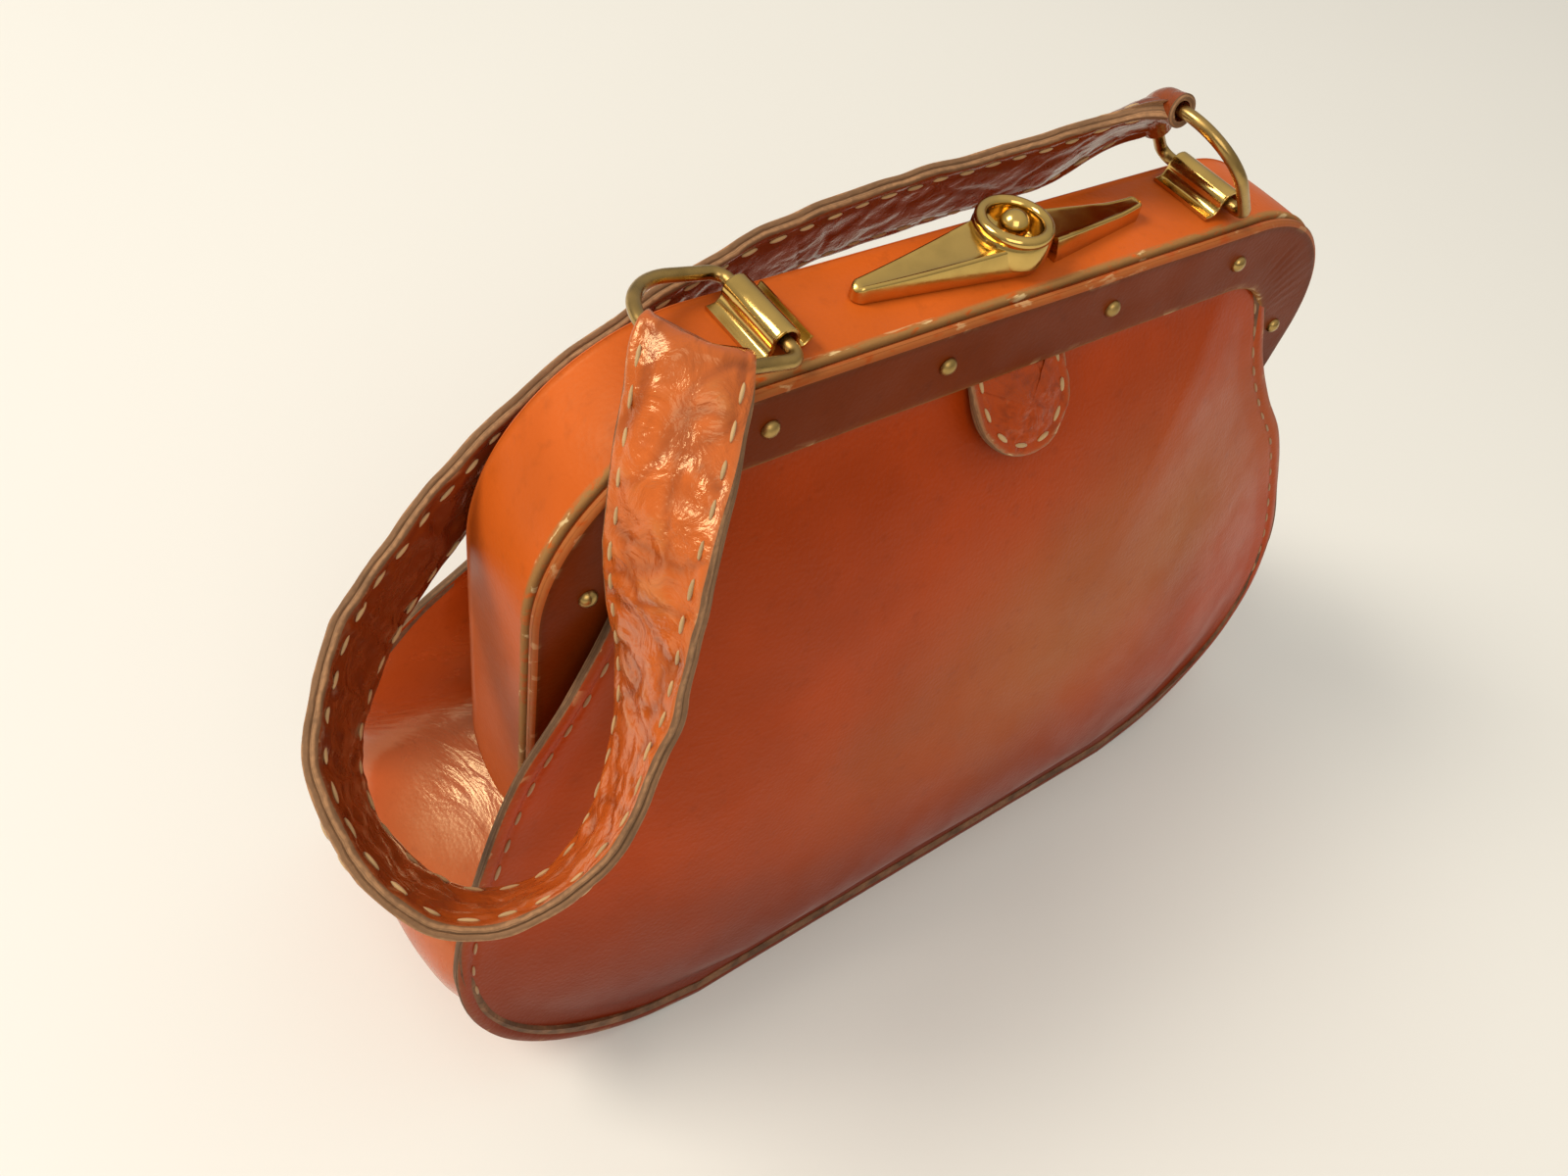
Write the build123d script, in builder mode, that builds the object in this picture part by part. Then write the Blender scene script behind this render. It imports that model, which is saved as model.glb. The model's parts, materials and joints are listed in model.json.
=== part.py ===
"""Leather frame handbag: a hinged frame, sewn leather body, turn clasp, strap rings and a strap.

Millimetres. The origin is on the floor under the middle of the bag, +Z is up and -Y is the front.
"""

import os
from math import atan, cos, degrees, radians, sin, sqrt

from build123d import *

os.makedirs("parts", exist_ok=True)

# Overall sizes
bag_height = 188.0
seam_half_width = 142.5
base_half_depth = 51.0
cut_overrun = 5.0

# Frame
frame_length = 230.0
frame_depth = 25.0
frame_wall = 2.6
shoulder_radius = 45.0
hinge_height = 77.0
flange_width = 18.5
flange_thickness = 1.9
flange_inset = 0.8
closing_gap = 0.4
rim_depth = 9.0
rim_wall = 1.6
ear_radius = 7.0
ear_height = 20.0

# Hinge pins
pin_radius = 1.6
pin_grip = 1.6
pin_head_radius = 3.2
pin_head_height = 1.2
running_gap = 0.05

# Studs
stud_radius = 2.0
stud_height = 1.3
inner_stud_x = 24.0
outer_stud_x = 67.4
leg_stud_turn_deg = 9.4
leg_stud_inset = 1.2

# Leather body
panel_thickness = 2.0
panel_belly = 11.0
belly_height = 58.0
tongue_half_length = 66.0
tongue_height = 8.0
tongue_thickness = 1.2
gusset_thickness = 1.5
seam_margin = 4.0
seam_gap = 0.1

# Pull tab
tab_width = 27.5
tab_length = 18.5
tab_thickness = 2.2
tab_centre_x = 0.5

# Clasp
clasp_half_length = 40.5
clasp_tip_width = 4.5
clasp_root_width = 15.0
clasp_tip_height = 3.4
clasp_root_height = 6.8
clasp_lift = 0.3
hub_radius = 8.8
hub_height = 9.2
hub_lip = 1.1
cup_radius = 6.7
cup_floor_height = 3.8
base_disc_radius = 7.8
base_disc_height = 1.6
post_radius = 2.2
ball_radius = 3.3
ball_height = 7.2

# Latch under the canopy
cam_radius = 3.6
cam_reach = 6.0
cam_height = 1.4
latch_drop = 11.0
spring_width = 8.0
spring_thickness = 0.8
spring_foot = 4.0
keeper_width = 12.0
keeper_thickness = 1.6
keeper_overlap = 2.5

# Strap rings and their brackets
ring_inset = 52.9
ring_wire_radius = 1.4
ring_half_width = 13.4
ring_reach = 25.3
ring_corner = 3.0
left_ring_lean_deg = -78.6
right_ring_lean_deg = -40.0
bracket_length = 17.0
bracket_radius = 3.2
bracket_foot = 3.0
bracket_foot_height = 1.0

# Strap
strap_width = 24.0
strap_thickness = 4.0
loop_wall = 1.8
loop_gap = 0.3
left_loop_start_deg = -78.0
right_loop_start_deg = 22.0
loop_turn_deg = 68.0

# Slope of a clasp arm's sides: the width of its top as a share of its foot.
clasp_top_share = 0.84

# Seam outline from the flange's corner down to the base: shares of the half width and the height,
# the angle in degrees that each gusset section leans down by, the depth of its side folds as a
# share of the seam's depth there, and how far the side folds and the middle stand outside the seam,
# as shares of the half width.
gusset_shares = [
    (0.582, 0.862, 0, 0.60, -0.047, -0.056),
    (0.675, 0.757, 0, 0.60, -0.034, -0.044),
    (0.772, 0.673, 0, 0.83, -0.115, -0.136),
    (0.863, 0.588, 0, 0.72, -0.206, -0.228),
    (0.933, 0.479, 0, 0.62, -0.275, -0.298),
    (0.986, 0.372, 0, 0.60, -0.325, -0.342),
    (1.000, 0.293, 8, 0.60, -0.175, -0.225),
    (0.982, 0.213, 14, 0.60, 0.000, -0.012),
    (0.926, 0.138, 32, 0.60, 0.060, 0.085),
    (0.828, 0.072, 54, 0.65, 0.085, 0.100),
    (0.702, 0.024, 78, 0.72, 0.032, 0.029),
    (0.561, 0.000, 90, 0.75, 0.000, -0.002),
]

# Belly of a panel: size of each section and its height, as shares of the outline and the belly.
belly_shares = [(0.95, 0.0), (0.80, 0.50), (0.52, 0.87), (0.20, 1.0)]

# Strap route from the left ring to the right ring: its distance along X as a share of the rings'
# distance from the middle, and how far to the left of that as a share of a ring's reach, then shares
# of the base's half depth and the bag's height, and the direction across the strap.
strap_shares = [
    (-1, 1.059, -0.176, 1.034, (0.46, -0.85, 0.25)),
    (-1, 1.313, -0.466, 0.997, (0.43, -0.89, 0.16)),
    (-1, 1.514, -0.606, 0.879, (0.17, -0.94, 0.29)),
    (-1, 1.591, -0.735, 0.750, (-0.18, -0.82, 0.53)),
    (-1, 2.013, -0.915, 0.650, (-0.34, -0.65, 0.68)),
    (-1, 2.659, -0.960, 0.596, (-0.33, -0.56, 0.76)),
    (-1, 3.227, -0.850, 0.584, (-0.32, -0.57, 0.76)),
    (-1, 3.568, -0.610, 0.611, (-0.37, -0.53, 0.76)),
    (-1, 3.627, -0.335, 0.649, (-0.40, -0.42, 0.81)),
    (-1, 3.432, -0.100, 0.682, (-0.41, -0.35, 0.84)),
    (-1, 2.804, 0.190, 0.732, (-0.48, -0.29, 0.83)),
    (-1, 1.441, 0.395, 0.850, (-0.43, -0.31, 0.85)),
    (-1, 0.114, 0.430, 0.945, (-0.26, -0.37, 0.89)),
    (-0.48, 0, 0.450, 0.988, (-0.12, -0.40, 0.91)),
    (0.04, 0, 0.435, 1.003, (-0.12, -0.41, 0.90)),
    (1, 1.318, 0.375, 1.023, (-0.28, -0.38, 0.88)),
    (1, 0.682, 0.320, 1.050, (-0.48, -0.28, 0.83)),
    (1, 0.418, 0.300, 1.070, (-0.60, -0.15, 0.79)),
]

# Places worked out from the sizes above
half_length = frame_length / 2
half_depth = frame_depth / 2
flange_back = half_depth + closing_gap
flange_front = flange_back + flange_thickness
flange_foot = bag_height - flange_inset - flange_width
canopy_under = bag_height - frame_wall
rim_inset = frame_wall + closing_gap
rim_inner_x = half_length - rim_inset - rim_wall
rim_back = flange_back - rim_depth
ring_x = half_length - ring_inset
ring_axis_height = bag_height + bracket_radius
front_lean = (base_half_depth - flange_back) / flange_foot
back_lean = (base_half_depth - half_depth + flange_thickness) / flange_foot
seam_half_depth = base_half_depth - panel_thickness
latch_height = bag_height - latch_drop


def arch_band(outer_inset, inner_inset, foot):
    """Band between two arches, each a given distance inside the frame's outer edge, down to a foot."""
    with BuildSketch(Plane.XY) as band:
        arches = ((outer_inset, foot, Mode.ADD), (inner_inset, foot - cut_overrun, Mode.SUBTRACT))
        for inset, end, mode in arches:
            half = half_length - inset
            top = bag_height - inset
            arch = [(-half, end), (-half, top), (half, top), (half, end)]
            with BuildLine():
                FilletPolyline(*arch, radius=shoulder_radius - inset)
                Line(arch[-1], arch[0])
            make_face(mode=mode)
    return band.sketch


def panel_outline(lean, size_share=1.0):
    """A panel's outline in its leaning plane, shrunk by a share about its belly."""
    stretch = sqrt(1 + lean**2)

    def place(x, height):
        return x * size_share, (belly_height + (height - belly_height) * size_share) * stretch

    seam = [place(row[0] * seam_half_width, row[1] * bag_height) for row in gusset_shares]
    top = flange_foot - closing_gap - panel_thickness * lean
    corner_x, corner_y = place(tongue_half_length + tongue_height, top)
    with BuildSketch(Plane.XY) as outline:
        with BuildLine():
            right_seam = Spline(*seam, tangents=((1, -1), (-1, 0)))
            mirror(right_seam, about=Plane.YZ)
            Polyline(seam[0], (corner_x, corner_y), (-corner_x, corner_y), (-seam[0][0], seam[0][1]))
            Line(seam[-1], (-seam[-1][0], seam[-1][1]))
        make_face()
    return outline.sketch


def build_panel(side, lean, tongue_face):
    """Panel with a flat sewn margin, a belly, and a tongue tucked behind its flange."""
    seam_plane = Plane(
        origin=(0, side * seam_half_depth, 0), x_dir=(-side, 0, 0), z_dir=(0, side, lean)
    )
    with BuildPart() as panel:
        with BuildSketch(seam_plane):
            add(panel_outline(lean))
        extrude(amount=panel_thickness)
        for size_share, height_share in belly_shares:
            with BuildSketch(seam_plane.offset(panel_thickness + panel_belly * height_share)):
                add(panel_outline(lean, size_share))
        loft()
        for size_share, height_share in belly_shares:
            with BuildSketch(seam_plane.offset(panel_belly * height_share)):
                add(panel_outline(lean, size_share))
        loft(mode=Mode.SUBTRACT)
        with BuildSketch(Plane.XZ.offset(-side * tongue_face)):
            with Locations((0, flange_foot - panel_thickness)):
                Rectangle(2 * tongue_half_length, tongue_height, align=(Align.CENTER, Align.MIN))
        extrude(amount=side * tongue_thickness)
    return panel.part


def gusset_half(row, side, lean):
    """Outer and inner corners of half a gusset section, from its raw edge to the side fold."""
    height_share, lean_deg, fold_y_share, side_share = row[1:5]

    def seam_y(out):
        height = height_share * bag_height - out * sin(radians(lean_deg))
        return side * (seam_half_depth - seam_gap - lean * height)

    fold_y = fold_y_share * seam_y(0)
    fold_out = side_share * seam_half_width
    skin = side * gusset_thickness
    inner_root = -seam_margin - gusset_thickness
    outer = [(seam_y(0), 0), (seam_y(0) - skin, 0), (seam_y(-seam_margin) - skin, -seam_margin)]
    outer.append((fold_y, fold_out))
    inner = [(seam_y(inner_root), inner_root), (fold_y, fold_out - gusset_thickness)]
    return outer, inner


def gusset_section(row):
    """Face of the folded strip across the seam, with both raw edges turned out along the panels."""
    x_share, height_share, lean_deg = row[:3]
    across = Vector(0, 1, 0)
    outwards = Vector(cos(radians(lean_deg)), 0, -sin(radians(lean_deg)))
    seam_point = (x_share * seam_half_width, 0, height_share * bag_height)
    middle_out = row[5] * seam_half_width
    front_outer, front_inner = gusset_half(row, -1, front_lean)
    back_outer, back_inner = gusset_half(row, 1, back_lean)
    corners = front_outer + [(0, middle_out)] + back_outer[::-1]
    corners += back_inner + [(0, middle_out - gusset_thickness)] + front_inner[::-1]
    with BuildLine(Plane(origin=seam_point, x_dir=across, z_dir=across.cross(outwards))) as section:
        Polyline(*corners, close=True)
    return Face(section.wire())


def ring_plane(side, lean_deg):
    """Plane of a strap ring: origin on its axis, local x out along the ring, local y along +Y."""
    reach = Vector(sin(radians(lean_deg)), 0, cos(radians(lean_deg)))
    across = Vector(0, 1, 0)
    return Plane(origin=(side * ring_x, 0, ring_axis_height), x_dir=reach, z_dir=reach.cross(across))


def build_ring(side, lean_deg):
    """Wire ring: a straight bar on the axis, two legs and a round bow."""
    bow_x = ring_reach - ring_half_width
    legs = [
        (bow_x, ring_half_width), (0, ring_half_width), (0, -ring_half_width), (bow_x, -ring_half_width)
    ]
    with BuildPart() as ring:
        with BuildLine(ring_plane(side, lean_deg)) as path:
            FilletPolyline(*legs, radius=ring_corner)
            CenterArc((bow_x, 0), ring_half_width, -90, 180)
        with BuildSketch(Plane(origin=path.wire() @ 0, z_dir=path.wire() % 0)):
            Circle(ring_wire_radius)
        sweep(path=path.wire())
    return ring.part


def build_bracket(side):
    """Rolled brass tube on two feet, for a ring's bar."""
    foot_width = 2 * (bracket_radius + bracket_foot)
    on_foot = (Align.CENTER, Align.MIN)
    with BuildPart() as bracket:
        with BuildSketch(Plane.XZ.offset(-bracket_length / 2)):
            with Locations((side * ring_x, bag_height)):
                Rectangle(foot_width, bracket_foot_height, align=on_foot)
                Rectangle(2 * bracket_radius, bracket_radius, align=on_foot)
            with Locations((side * ring_x, ring_axis_height)):
                Circle(bracket_radius)
                Circle(ring_wire_radius + running_gap, mode=Mode.SUBTRACT)
        extrude(amount=bracket_length)
    return bracket.part


def build_pin(side):
    """Hinge pin, blind in the canopy's leg, with its head inside the front frame's ear."""
    head_face = rim_inner_x - running_gap
    grip_end = half_length - frame_wall + pin_grip
    with BuildPart() as pin:
        with BuildSketch(Plane(origin=(side * head_face, 0, hinge_height), z_dir=(side, 0, 0))):
            Circle(pin_radius)
        extrude(amount=grip_end - head_face)
        with BuildSketch(Plane(origin=(side * head_face, 0, hinge_height), z_dir=(-side, 0, 0))):
            Circle(pin_head_radius)
        extrude(amount=pin_head_height)
    return pin.part


def build_studs(side, face):
    """Six dome studs on a flange's outer face."""
    row_height = flange_foot + flange_width / 2
    turn_radius = shoulder_radius - flange_inset - flange_width / 2 - leg_stud_inset
    leg_x = half_length - shoulder_radius + turn_radius * cos(radians(leg_stud_turn_deg))
    leg_height = bag_height - shoulder_radius + turn_radius * sin(radians(leg_stud_turn_deg))
    places = [(inner_stud_x, row_height), (outer_stud_x, row_height), (leg_x, leg_height)]
    dome_radius = (stud_radius**2 + stud_height**2) / (2 * stud_height)
    dome_y = side * (face + stud_height - dome_radius)
    with BuildPart() as studs:
        for x, height in places:
            with Locations((-x, dome_y, height), (x, dome_y, height)):
                Sphere(dome_radius)
        split(bisect_by=Plane(origin=(0, side * face, 0), z_dir=(0, side, 0)), keep=Keep.TOP)
    return studs.part


def arm_section(width, height, foot):
    """A clasp arm's section: a low trapezium standing on the canopy."""
    top = clasp_top_share * width
    with BuildSketch(Plane.XY) as section:
        with BuildLine():
            Polyline((-width / 2, foot), (width / 2, foot), (top / 2, height), (-top / 2, height), close=True)
        make_face()
    return section.sketch


def arm_plane(side, distance):
    """Plane across a clasp arm, standing on the canopy."""
    return Plane(origin=(side * distance, 0, bag_height), x_dir=(0, side, 0), z_dir=(side, 0, 0))


def strap_planes():
    """Plane of each strap section: local x lies across the strap, local z along its route."""
    points = []
    for ring_share, reach_share, depth_share, height_share, _ in strap_shares:
        x = ring_share * ring_x - reach_share * ring_reach
        points.append(Vector(x, depth_share * base_half_depth, height_share * bag_height))
    planes = []
    for index, row in enumerate(strap_shares):
        before = points[max(index - 1, 0)]
        after = points[min(index + 1, len(points) - 1)]
        along = (after - before).normalized()
        width_way = Vector(*row[-1])
        width_way = (width_way - along * width_way.dot(along)).normalized()
        planes.append(Plane(origin=points[index], x_dir=width_way, z_dir=along))
    return planes


# Canopy: the wide rear half of the frame, with a flange down its back and holes for clasp and pins
with BuildPart() as canopy_frame:
    with BuildSketch(Plane.XZ.offset(-half_depth)):
        add(arch_band(0, frame_wall, hinge_height - half_depth))
    extrude(amount=frame_depth)
    with BuildSketch(Plane.XZ.offset(-half_depth)):
        add(arch_band(0, flange_inset + flange_width, hinge_height))
    extrude(amount=flange_thickness)
    with BuildSketch(Plane.YZ.offset(-half_length)):
        with Locations((0, hinge_height)):
            Circle(half_depth)
            Rectangle(frame_depth, bag_height - hinge_height, align=(Align.CENTER, Align.MIN))
    extrude(amount=frame_length, mode=Mode.INTERSECT)
    with Locations((0, 0, bag_height)):
        Hole(post_radius + running_gap, depth=frame_wall + cut_overrun)
    for side in (-1, 1):
        pin_mouth = (side * (half_length - frame_wall), 0, hinge_height)
        with BuildSketch(Plane(origin=pin_mouth, z_dir=(side, 0, 0))):
            Circle(pin_radius + running_gap)
        extrude(amount=pin_grip + running_gap, mode=Mode.SUBTRACT)

# Front frame: a flange in front of the canopy and a rim inside it, with ears on the hinge pins
with BuildPart() as front_frame:
    with BuildSketch(Plane.XZ.offset(flange_back)):
        add(arch_band(flange_inset, flange_inset + flange_width, hinge_height))
    extrude(amount=flange_thickness)
    with BuildSketch(Plane.XZ.offset(rim_back)):
        add(arch_band(rim_inset, rim_inset + rim_wall, hinge_height))
    extrude(amount=rim_depth)
    for side in (-1, 1):
        with BuildSketch(Plane(origin=(side * rim_inner_x, 0, 0), x_dir=(0, side, 0), z_dir=(side, 0, 0))):
            with Locations((0, hinge_height)):
                Circle(ear_radius)
            with BuildLine():
                Polyline(
                    (-side * flange_back, hinge_height), (0, hinge_height - ear_radius),
                    (side * ear_radius, hinge_height), (-side * rim_back, hinge_height + ear_height),
                    (-side * flange_back, hinge_height + ear_height), close=True,
                )
            make_face()
            with Locations((0, hinge_height)):
                Circle(pin_radius + running_gap, mode=Mode.SUBTRACT)
        extrude(amount=rim_wall)

front_studs = build_studs(-1, flange_front)
back_studs = build_studs(1, half_depth)
hinge_pin_left = build_pin(-1)
hinge_pin_right = build_pin(1)

# Leather body: two panels and the gusset between them, flat along the base
front_panel = build_panel(-1, front_lean, flange_back - closing_gap)
back_panel = build_panel(1, back_lean, half_depth - flange_thickness - seam_gap)

with BuildPart() as gusset:
    loft([gusset_section(row) for row in gusset_shares], ruled=True)
    base_row = (*gusset_shares[-1][:-1], gusset_shares[-1][-2])
    extrude(gusset_section(base_row), amount=base_row[0] * seam_half_width, dir=(-1, 0, 0))
    mirror(about=Plane.YZ)

# Pull tab: a stitched tongue that hangs from the flange and lies along the top of the panel's belly
belly_rise = panel_belly * (belly_shares[1][1] - belly_shares[0][1])
belly_run = (flange_foot - belly_height) * (belly_shares[0][0] - belly_shares[1][0])
tab_lean_deg = degrees(atan(front_lean + belly_rise / belly_run))
tab_top = (tab_centre_x, -flange_back - closing_gap, flange_foot)
with BuildPart() as pull_tab:
    with BuildSketch(Plane(origin=tab_top, x_dir=(1, 0, 0), z_dir=(0, -1, 0)).rotated((-tab_lean_deg, 0, 0))):
        with Locations((0, 0)):
            Rectangle(tab_width, tab_length - tab_width / 2, align=(Align.CENTER, Align.MAX))
        with Locations((0, tab_width / 2 - tab_length)):
            Circle(tab_width / 2)
    extrude(amount=tab_thickness)
    split(bisect_by=Plane.XY.offset(flange_foot), keep=Keep.BOTTOM)

# Clasp: a lever with a round hub, over a fixed plate that carries the other arm
hub_foot = bag_height + base_disc_height + clasp_lift
cup_floor = bag_height + cup_floor_height
hub_top = bag_height + hub_height
with BuildPart() as clasp_lever:
    for distance, width, height in (
        (post_radius, clasp_root_width, clasp_root_height),
        (clasp_half_length, clasp_tip_width, clasp_tip_height),
    ):
        with BuildSketch(arm_plane(-1, distance)):
            add(arm_section(width, height, clasp_lift))
    loft(ruled=True)
    with Locations((0, 0, bag_height)):
        Cylinder(
            base_disc_radius + clasp_lift, base_disc_height + clasp_lift,
            align=(Align.CENTER, Align.CENTER, Align.MIN), mode=Mode.SUBTRACT,
        )
    with BuildSketch(Plane.XZ):
        with BuildLine():
            Polyline(
                (0, hub_foot), (hub_radius, hub_foot), (hub_radius, cup_floor),
                (cup_radius + hub_lip, hub_top), (0, hub_top), close=True,
            )
        make_face()
    revolve(axis=Axis.Z)
    with BuildSketch(Plane.XZ):
        with BuildLine():
            Polyline(
                (0, hub_foot), (post_radius, hub_foot), (post_radius, cup_floor),
                (cup_radius - hub_lip, cup_floor), (cup_radius, hub_top), (0, hub_top), close=True,
            )
        make_face()
    revolve(axis=Axis.Z, mode=Mode.SUBTRACT)

with BuildPart() as clasp_plate:
    for distance, width, height in (
        (hub_radius + clasp_lift, clasp_root_width, clasp_root_height - base_disc_height),
        (clasp_half_length, clasp_tip_width, clasp_tip_height),
    ):
        with BuildSketch(arm_plane(1, distance)):
            add(arm_section(width, height, 0))
    loft(ruled=True)
    with BuildSketch(Plane.XY.offset(bag_height)):
        Circle(base_disc_radius)
        Rectangle(hub_radius + 2 * clasp_lift, 2 * post_radius + base_disc_radius,
                  align=(Align.MIN, Align.CENTER))
        Circle(post_radius + running_gap, mode=Mode.SUBTRACT)
    extrude(amount=base_disc_height)

with BuildPart() as clasp_post:
    with BuildSketch(Plane.XZ):
        with BuildLine():
            Polyline(
                (0, latch_height), (post_radius, latch_height),
                (post_radius, bag_height + ball_height), (0, bag_height + ball_height), close=True,
            )
        make_face()
        with Locations((0, bag_height + ball_height)):
            Circle(ball_radius)
        split(bisect_by=Plane.YZ, keep=Keep.TOP)
    revolve(axis=Axis.Z)

# Latch: a cam on the post, a hooked spring under the canopy and a keeper on the front frame's rim
with BuildPart() as latch_cam:
    with BuildSketch(Plane.XY.offset(latch_height)):
        Circle(cam_radius)
        Rectangle(cam_reach, cam_radius, align=(Align.MIN, Align.CENTER))
        Circle(post_radius, mode=Mode.SUBTRACT)
    extrude(amount=cam_height)

spring_top = latch_height - clasp_lift
keeper_foot = spring_top + clasp_lift
with BuildPart() as latch_keeper:
    with BuildSketch(Plane.XZ.offset(rim_back)):
        with Locations((0, canopy_under - closing_gap - rim_wall)):
            Rectangle(keeper_width, canopy_under - closing_gap - rim_wall - keeper_foot,
                      align=(Align.CENTER, Align.MAX))
    extrude(amount=keeper_thickness)

hook_y = -rim_back - keeper_thickness - closing_gap
with BuildPart() as latch_spring:
    with BuildSketch(Plane.YZ.offset(-spring_width / 2)):
        with BuildLine():
            Polyline(
                (hook_y, spring_top + keeper_overlap),
                (hook_y - spring_thickness, spring_top + keeper_overlap),
                (hook_y - spring_thickness, spring_top - spring_thickness),
                (half_depth - flange_thickness - spring_thickness, spring_top - spring_thickness),
                (half_depth - flange_thickness - spring_thickness, canopy_under),
                (half_depth - flange_thickness - spring_foot, canopy_under),
                (half_depth - flange_thickness - spring_foot, canopy_under - spring_thickness),
                (half_depth - flange_thickness - 2 * spring_thickness, canopy_under - spring_thickness),
                (half_depth - flange_thickness - 2 * spring_thickness, spring_top), (hook_y, spring_top),
                close=True,
            )
        make_face()
    extrude(amount=spring_width)

ring_bracket_left = build_bracket(-1)
ring_bracket_right = build_bracket(1)
ring_left = build_ring(-1, left_ring_lean_deg)
ring_right = build_ring(1, right_ring_lean_deg)

# Strap: a flat band along its route, folded round a ring at each end
with BuildPart() as strap:
    for plane in strap_planes():
        with BuildSketch(plane):
            Rectangle(strap_width, strap_thickness)
    loft(ruled=True)
    for side, lean_deg, start_deg in (
        (-1, left_ring_lean_deg, left_loop_start_deg),
        (1, right_ring_lean_deg, right_loop_start_deg),
    ):
        with BuildLine(ring_plane(side, lean_deg)) as fold:
            CenterArc((ring_reach - ring_half_width, 0), ring_half_width, start_deg, loop_turn_deg)
        with BuildSketch(Plane(origin=fold.wire() @ 0, z_dir=fold.wire() % 0)):
            Circle(ring_wire_radius + loop_gap + loop_wall)
            Circle(ring_wire_radius + loop_gap, mode=Mode.SUBTRACT)
        sweep(path=fold.wire())

pieces = {
    "canopy_frame": canopy_frame.part,
    "front_frame": front_frame.part,
    "front_studs": front_studs,
    "back_studs": back_studs,
    "hinge_pin_left": hinge_pin_left,
    "hinge_pin_right": hinge_pin_right,
    "front_panel": front_panel,
    "back_panel": back_panel,
    "gusset": gusset.part,
    "pull_tab": pull_tab.part,
    "clasp_lever": clasp_lever.part,
    "clasp_plate": clasp_plate.part,
    "clasp_post": clasp_post.part,
    "latch_cam": latch_cam.part,
    "latch_keeper": latch_keeper.part,
    "latch_spring": latch_spring.part,
    "ring_bracket_left": ring_bracket_left,
    "ring_bracket_right": ring_bracket_right,
    "ring_left": ring_left,
    "ring_right": ring_right,
    "strap": strap.part,
}
for name, piece in pieces.items():
    piece.label = name
    export_step(piece, f"parts/{name}.step")
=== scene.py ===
"""Dresses the leather frame handbag in leather, brass and thread over the CAD frame, and sets its stage."""

import json
import math

import bmesh
import bpy
import numpy as np
from bpy.props import FloatProperty, FloatVectorProperty, PointerProperty
from mathutils import Matrix, Vector, noise


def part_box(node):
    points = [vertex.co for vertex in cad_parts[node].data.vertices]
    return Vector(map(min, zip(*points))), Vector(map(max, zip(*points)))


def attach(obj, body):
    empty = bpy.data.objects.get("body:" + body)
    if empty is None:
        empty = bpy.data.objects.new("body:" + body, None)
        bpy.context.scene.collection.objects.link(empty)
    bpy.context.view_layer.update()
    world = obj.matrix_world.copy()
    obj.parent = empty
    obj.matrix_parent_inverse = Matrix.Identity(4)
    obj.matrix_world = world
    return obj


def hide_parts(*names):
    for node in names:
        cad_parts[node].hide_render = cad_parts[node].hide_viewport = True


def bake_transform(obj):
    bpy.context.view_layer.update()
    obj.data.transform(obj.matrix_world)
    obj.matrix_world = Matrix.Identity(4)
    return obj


bl_info = {
    "name": "Leather frame handbag",
    "version": (1, 0, 0),
    "blender": (4, 5, 0),
    "location": "View3D > Sidebar > Handbag",
    "description": "Builds the leather, brass and thread of a frame handbag over its CAD frame",
    "category": "Object",
}

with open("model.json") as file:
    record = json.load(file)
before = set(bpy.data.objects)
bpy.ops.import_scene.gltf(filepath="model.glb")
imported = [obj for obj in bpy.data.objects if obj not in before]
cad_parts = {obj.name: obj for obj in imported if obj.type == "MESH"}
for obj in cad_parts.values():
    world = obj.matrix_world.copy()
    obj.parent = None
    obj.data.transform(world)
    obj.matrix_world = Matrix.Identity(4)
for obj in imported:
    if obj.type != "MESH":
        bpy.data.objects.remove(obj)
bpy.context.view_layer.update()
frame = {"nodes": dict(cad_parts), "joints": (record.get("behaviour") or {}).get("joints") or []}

# A millimetre in metres
MM = 0.001

# Sizes taken from the frame, in metres
JOINTS = {joint["name"]: Vector(joint["pos_m"]) for joint in frame["joints"]}
HALF_LENGTH, HALF_DEPTH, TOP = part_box("canopy_frame")[1]
HINGE = JOINTS["front_opening"].z
SEAM_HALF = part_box("front_panel")[1].x
FLANGE_FRONT = -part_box("front_frame")[0].y
STUD_LOW, STUD_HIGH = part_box("front_studs")
TAB_LOW, TAB_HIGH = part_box("pull_tab")

# Sizes that the solids share with the dressed pieces
SHOULDER = 45 * MM
WALL = 2.6 * MM
FLANGE = 1.9 * MM
FLANGE_INSET = 0.8 * MM
FLANGE_WIDTH = 18.5 * MM
FLANGE_BACK = FLANGE_FRONT - FLANGE
FLANGE_FOOT = TOP - FLANGE_INSET - FLANGE_WIDTH
PANEL = 2 * MM
SEAM_BASE = 49 * MM
FRONT_LEAN = (SEAM_BASE - FLANGE_BACK + PANEL) / FLANGE_FOOT
BACK_LEAN = (SEAM_BASE - HALF_DEPTH + FLANGE + PANEL) / FLANGE_FOOT
BELLY = 11 * MM
BELLY_HEIGHT = 58 * MM
RING_WIRE = 1.4 * MM
RING_HALF = 13.4 * MM
RING_REACH = 25.3 * MM
RING_LEANS = {"left": math.radians(-78.6), "right": math.radians(-40)}

# Leather's least height over the floor
FLOOR_GAP = 0.05 * MM
# Points between which the front panel and the gusset bend from the bag to the front frame; place is given
# them but does not read them
PANEL_BEND = ((0, 0, HINGE), (0, 0, 0.140))
GUSSET_BEND = ((0, -0.0316, HINGE), (0, -0.03902, HINGE + 0.00266))

# Rows of points on each stretch of the frame's arch, on a leg's rounded end, and along the strap
ARCH_ROWS = 44
TIP_ROWS = 14
STRAP_ROWS = 460

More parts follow.
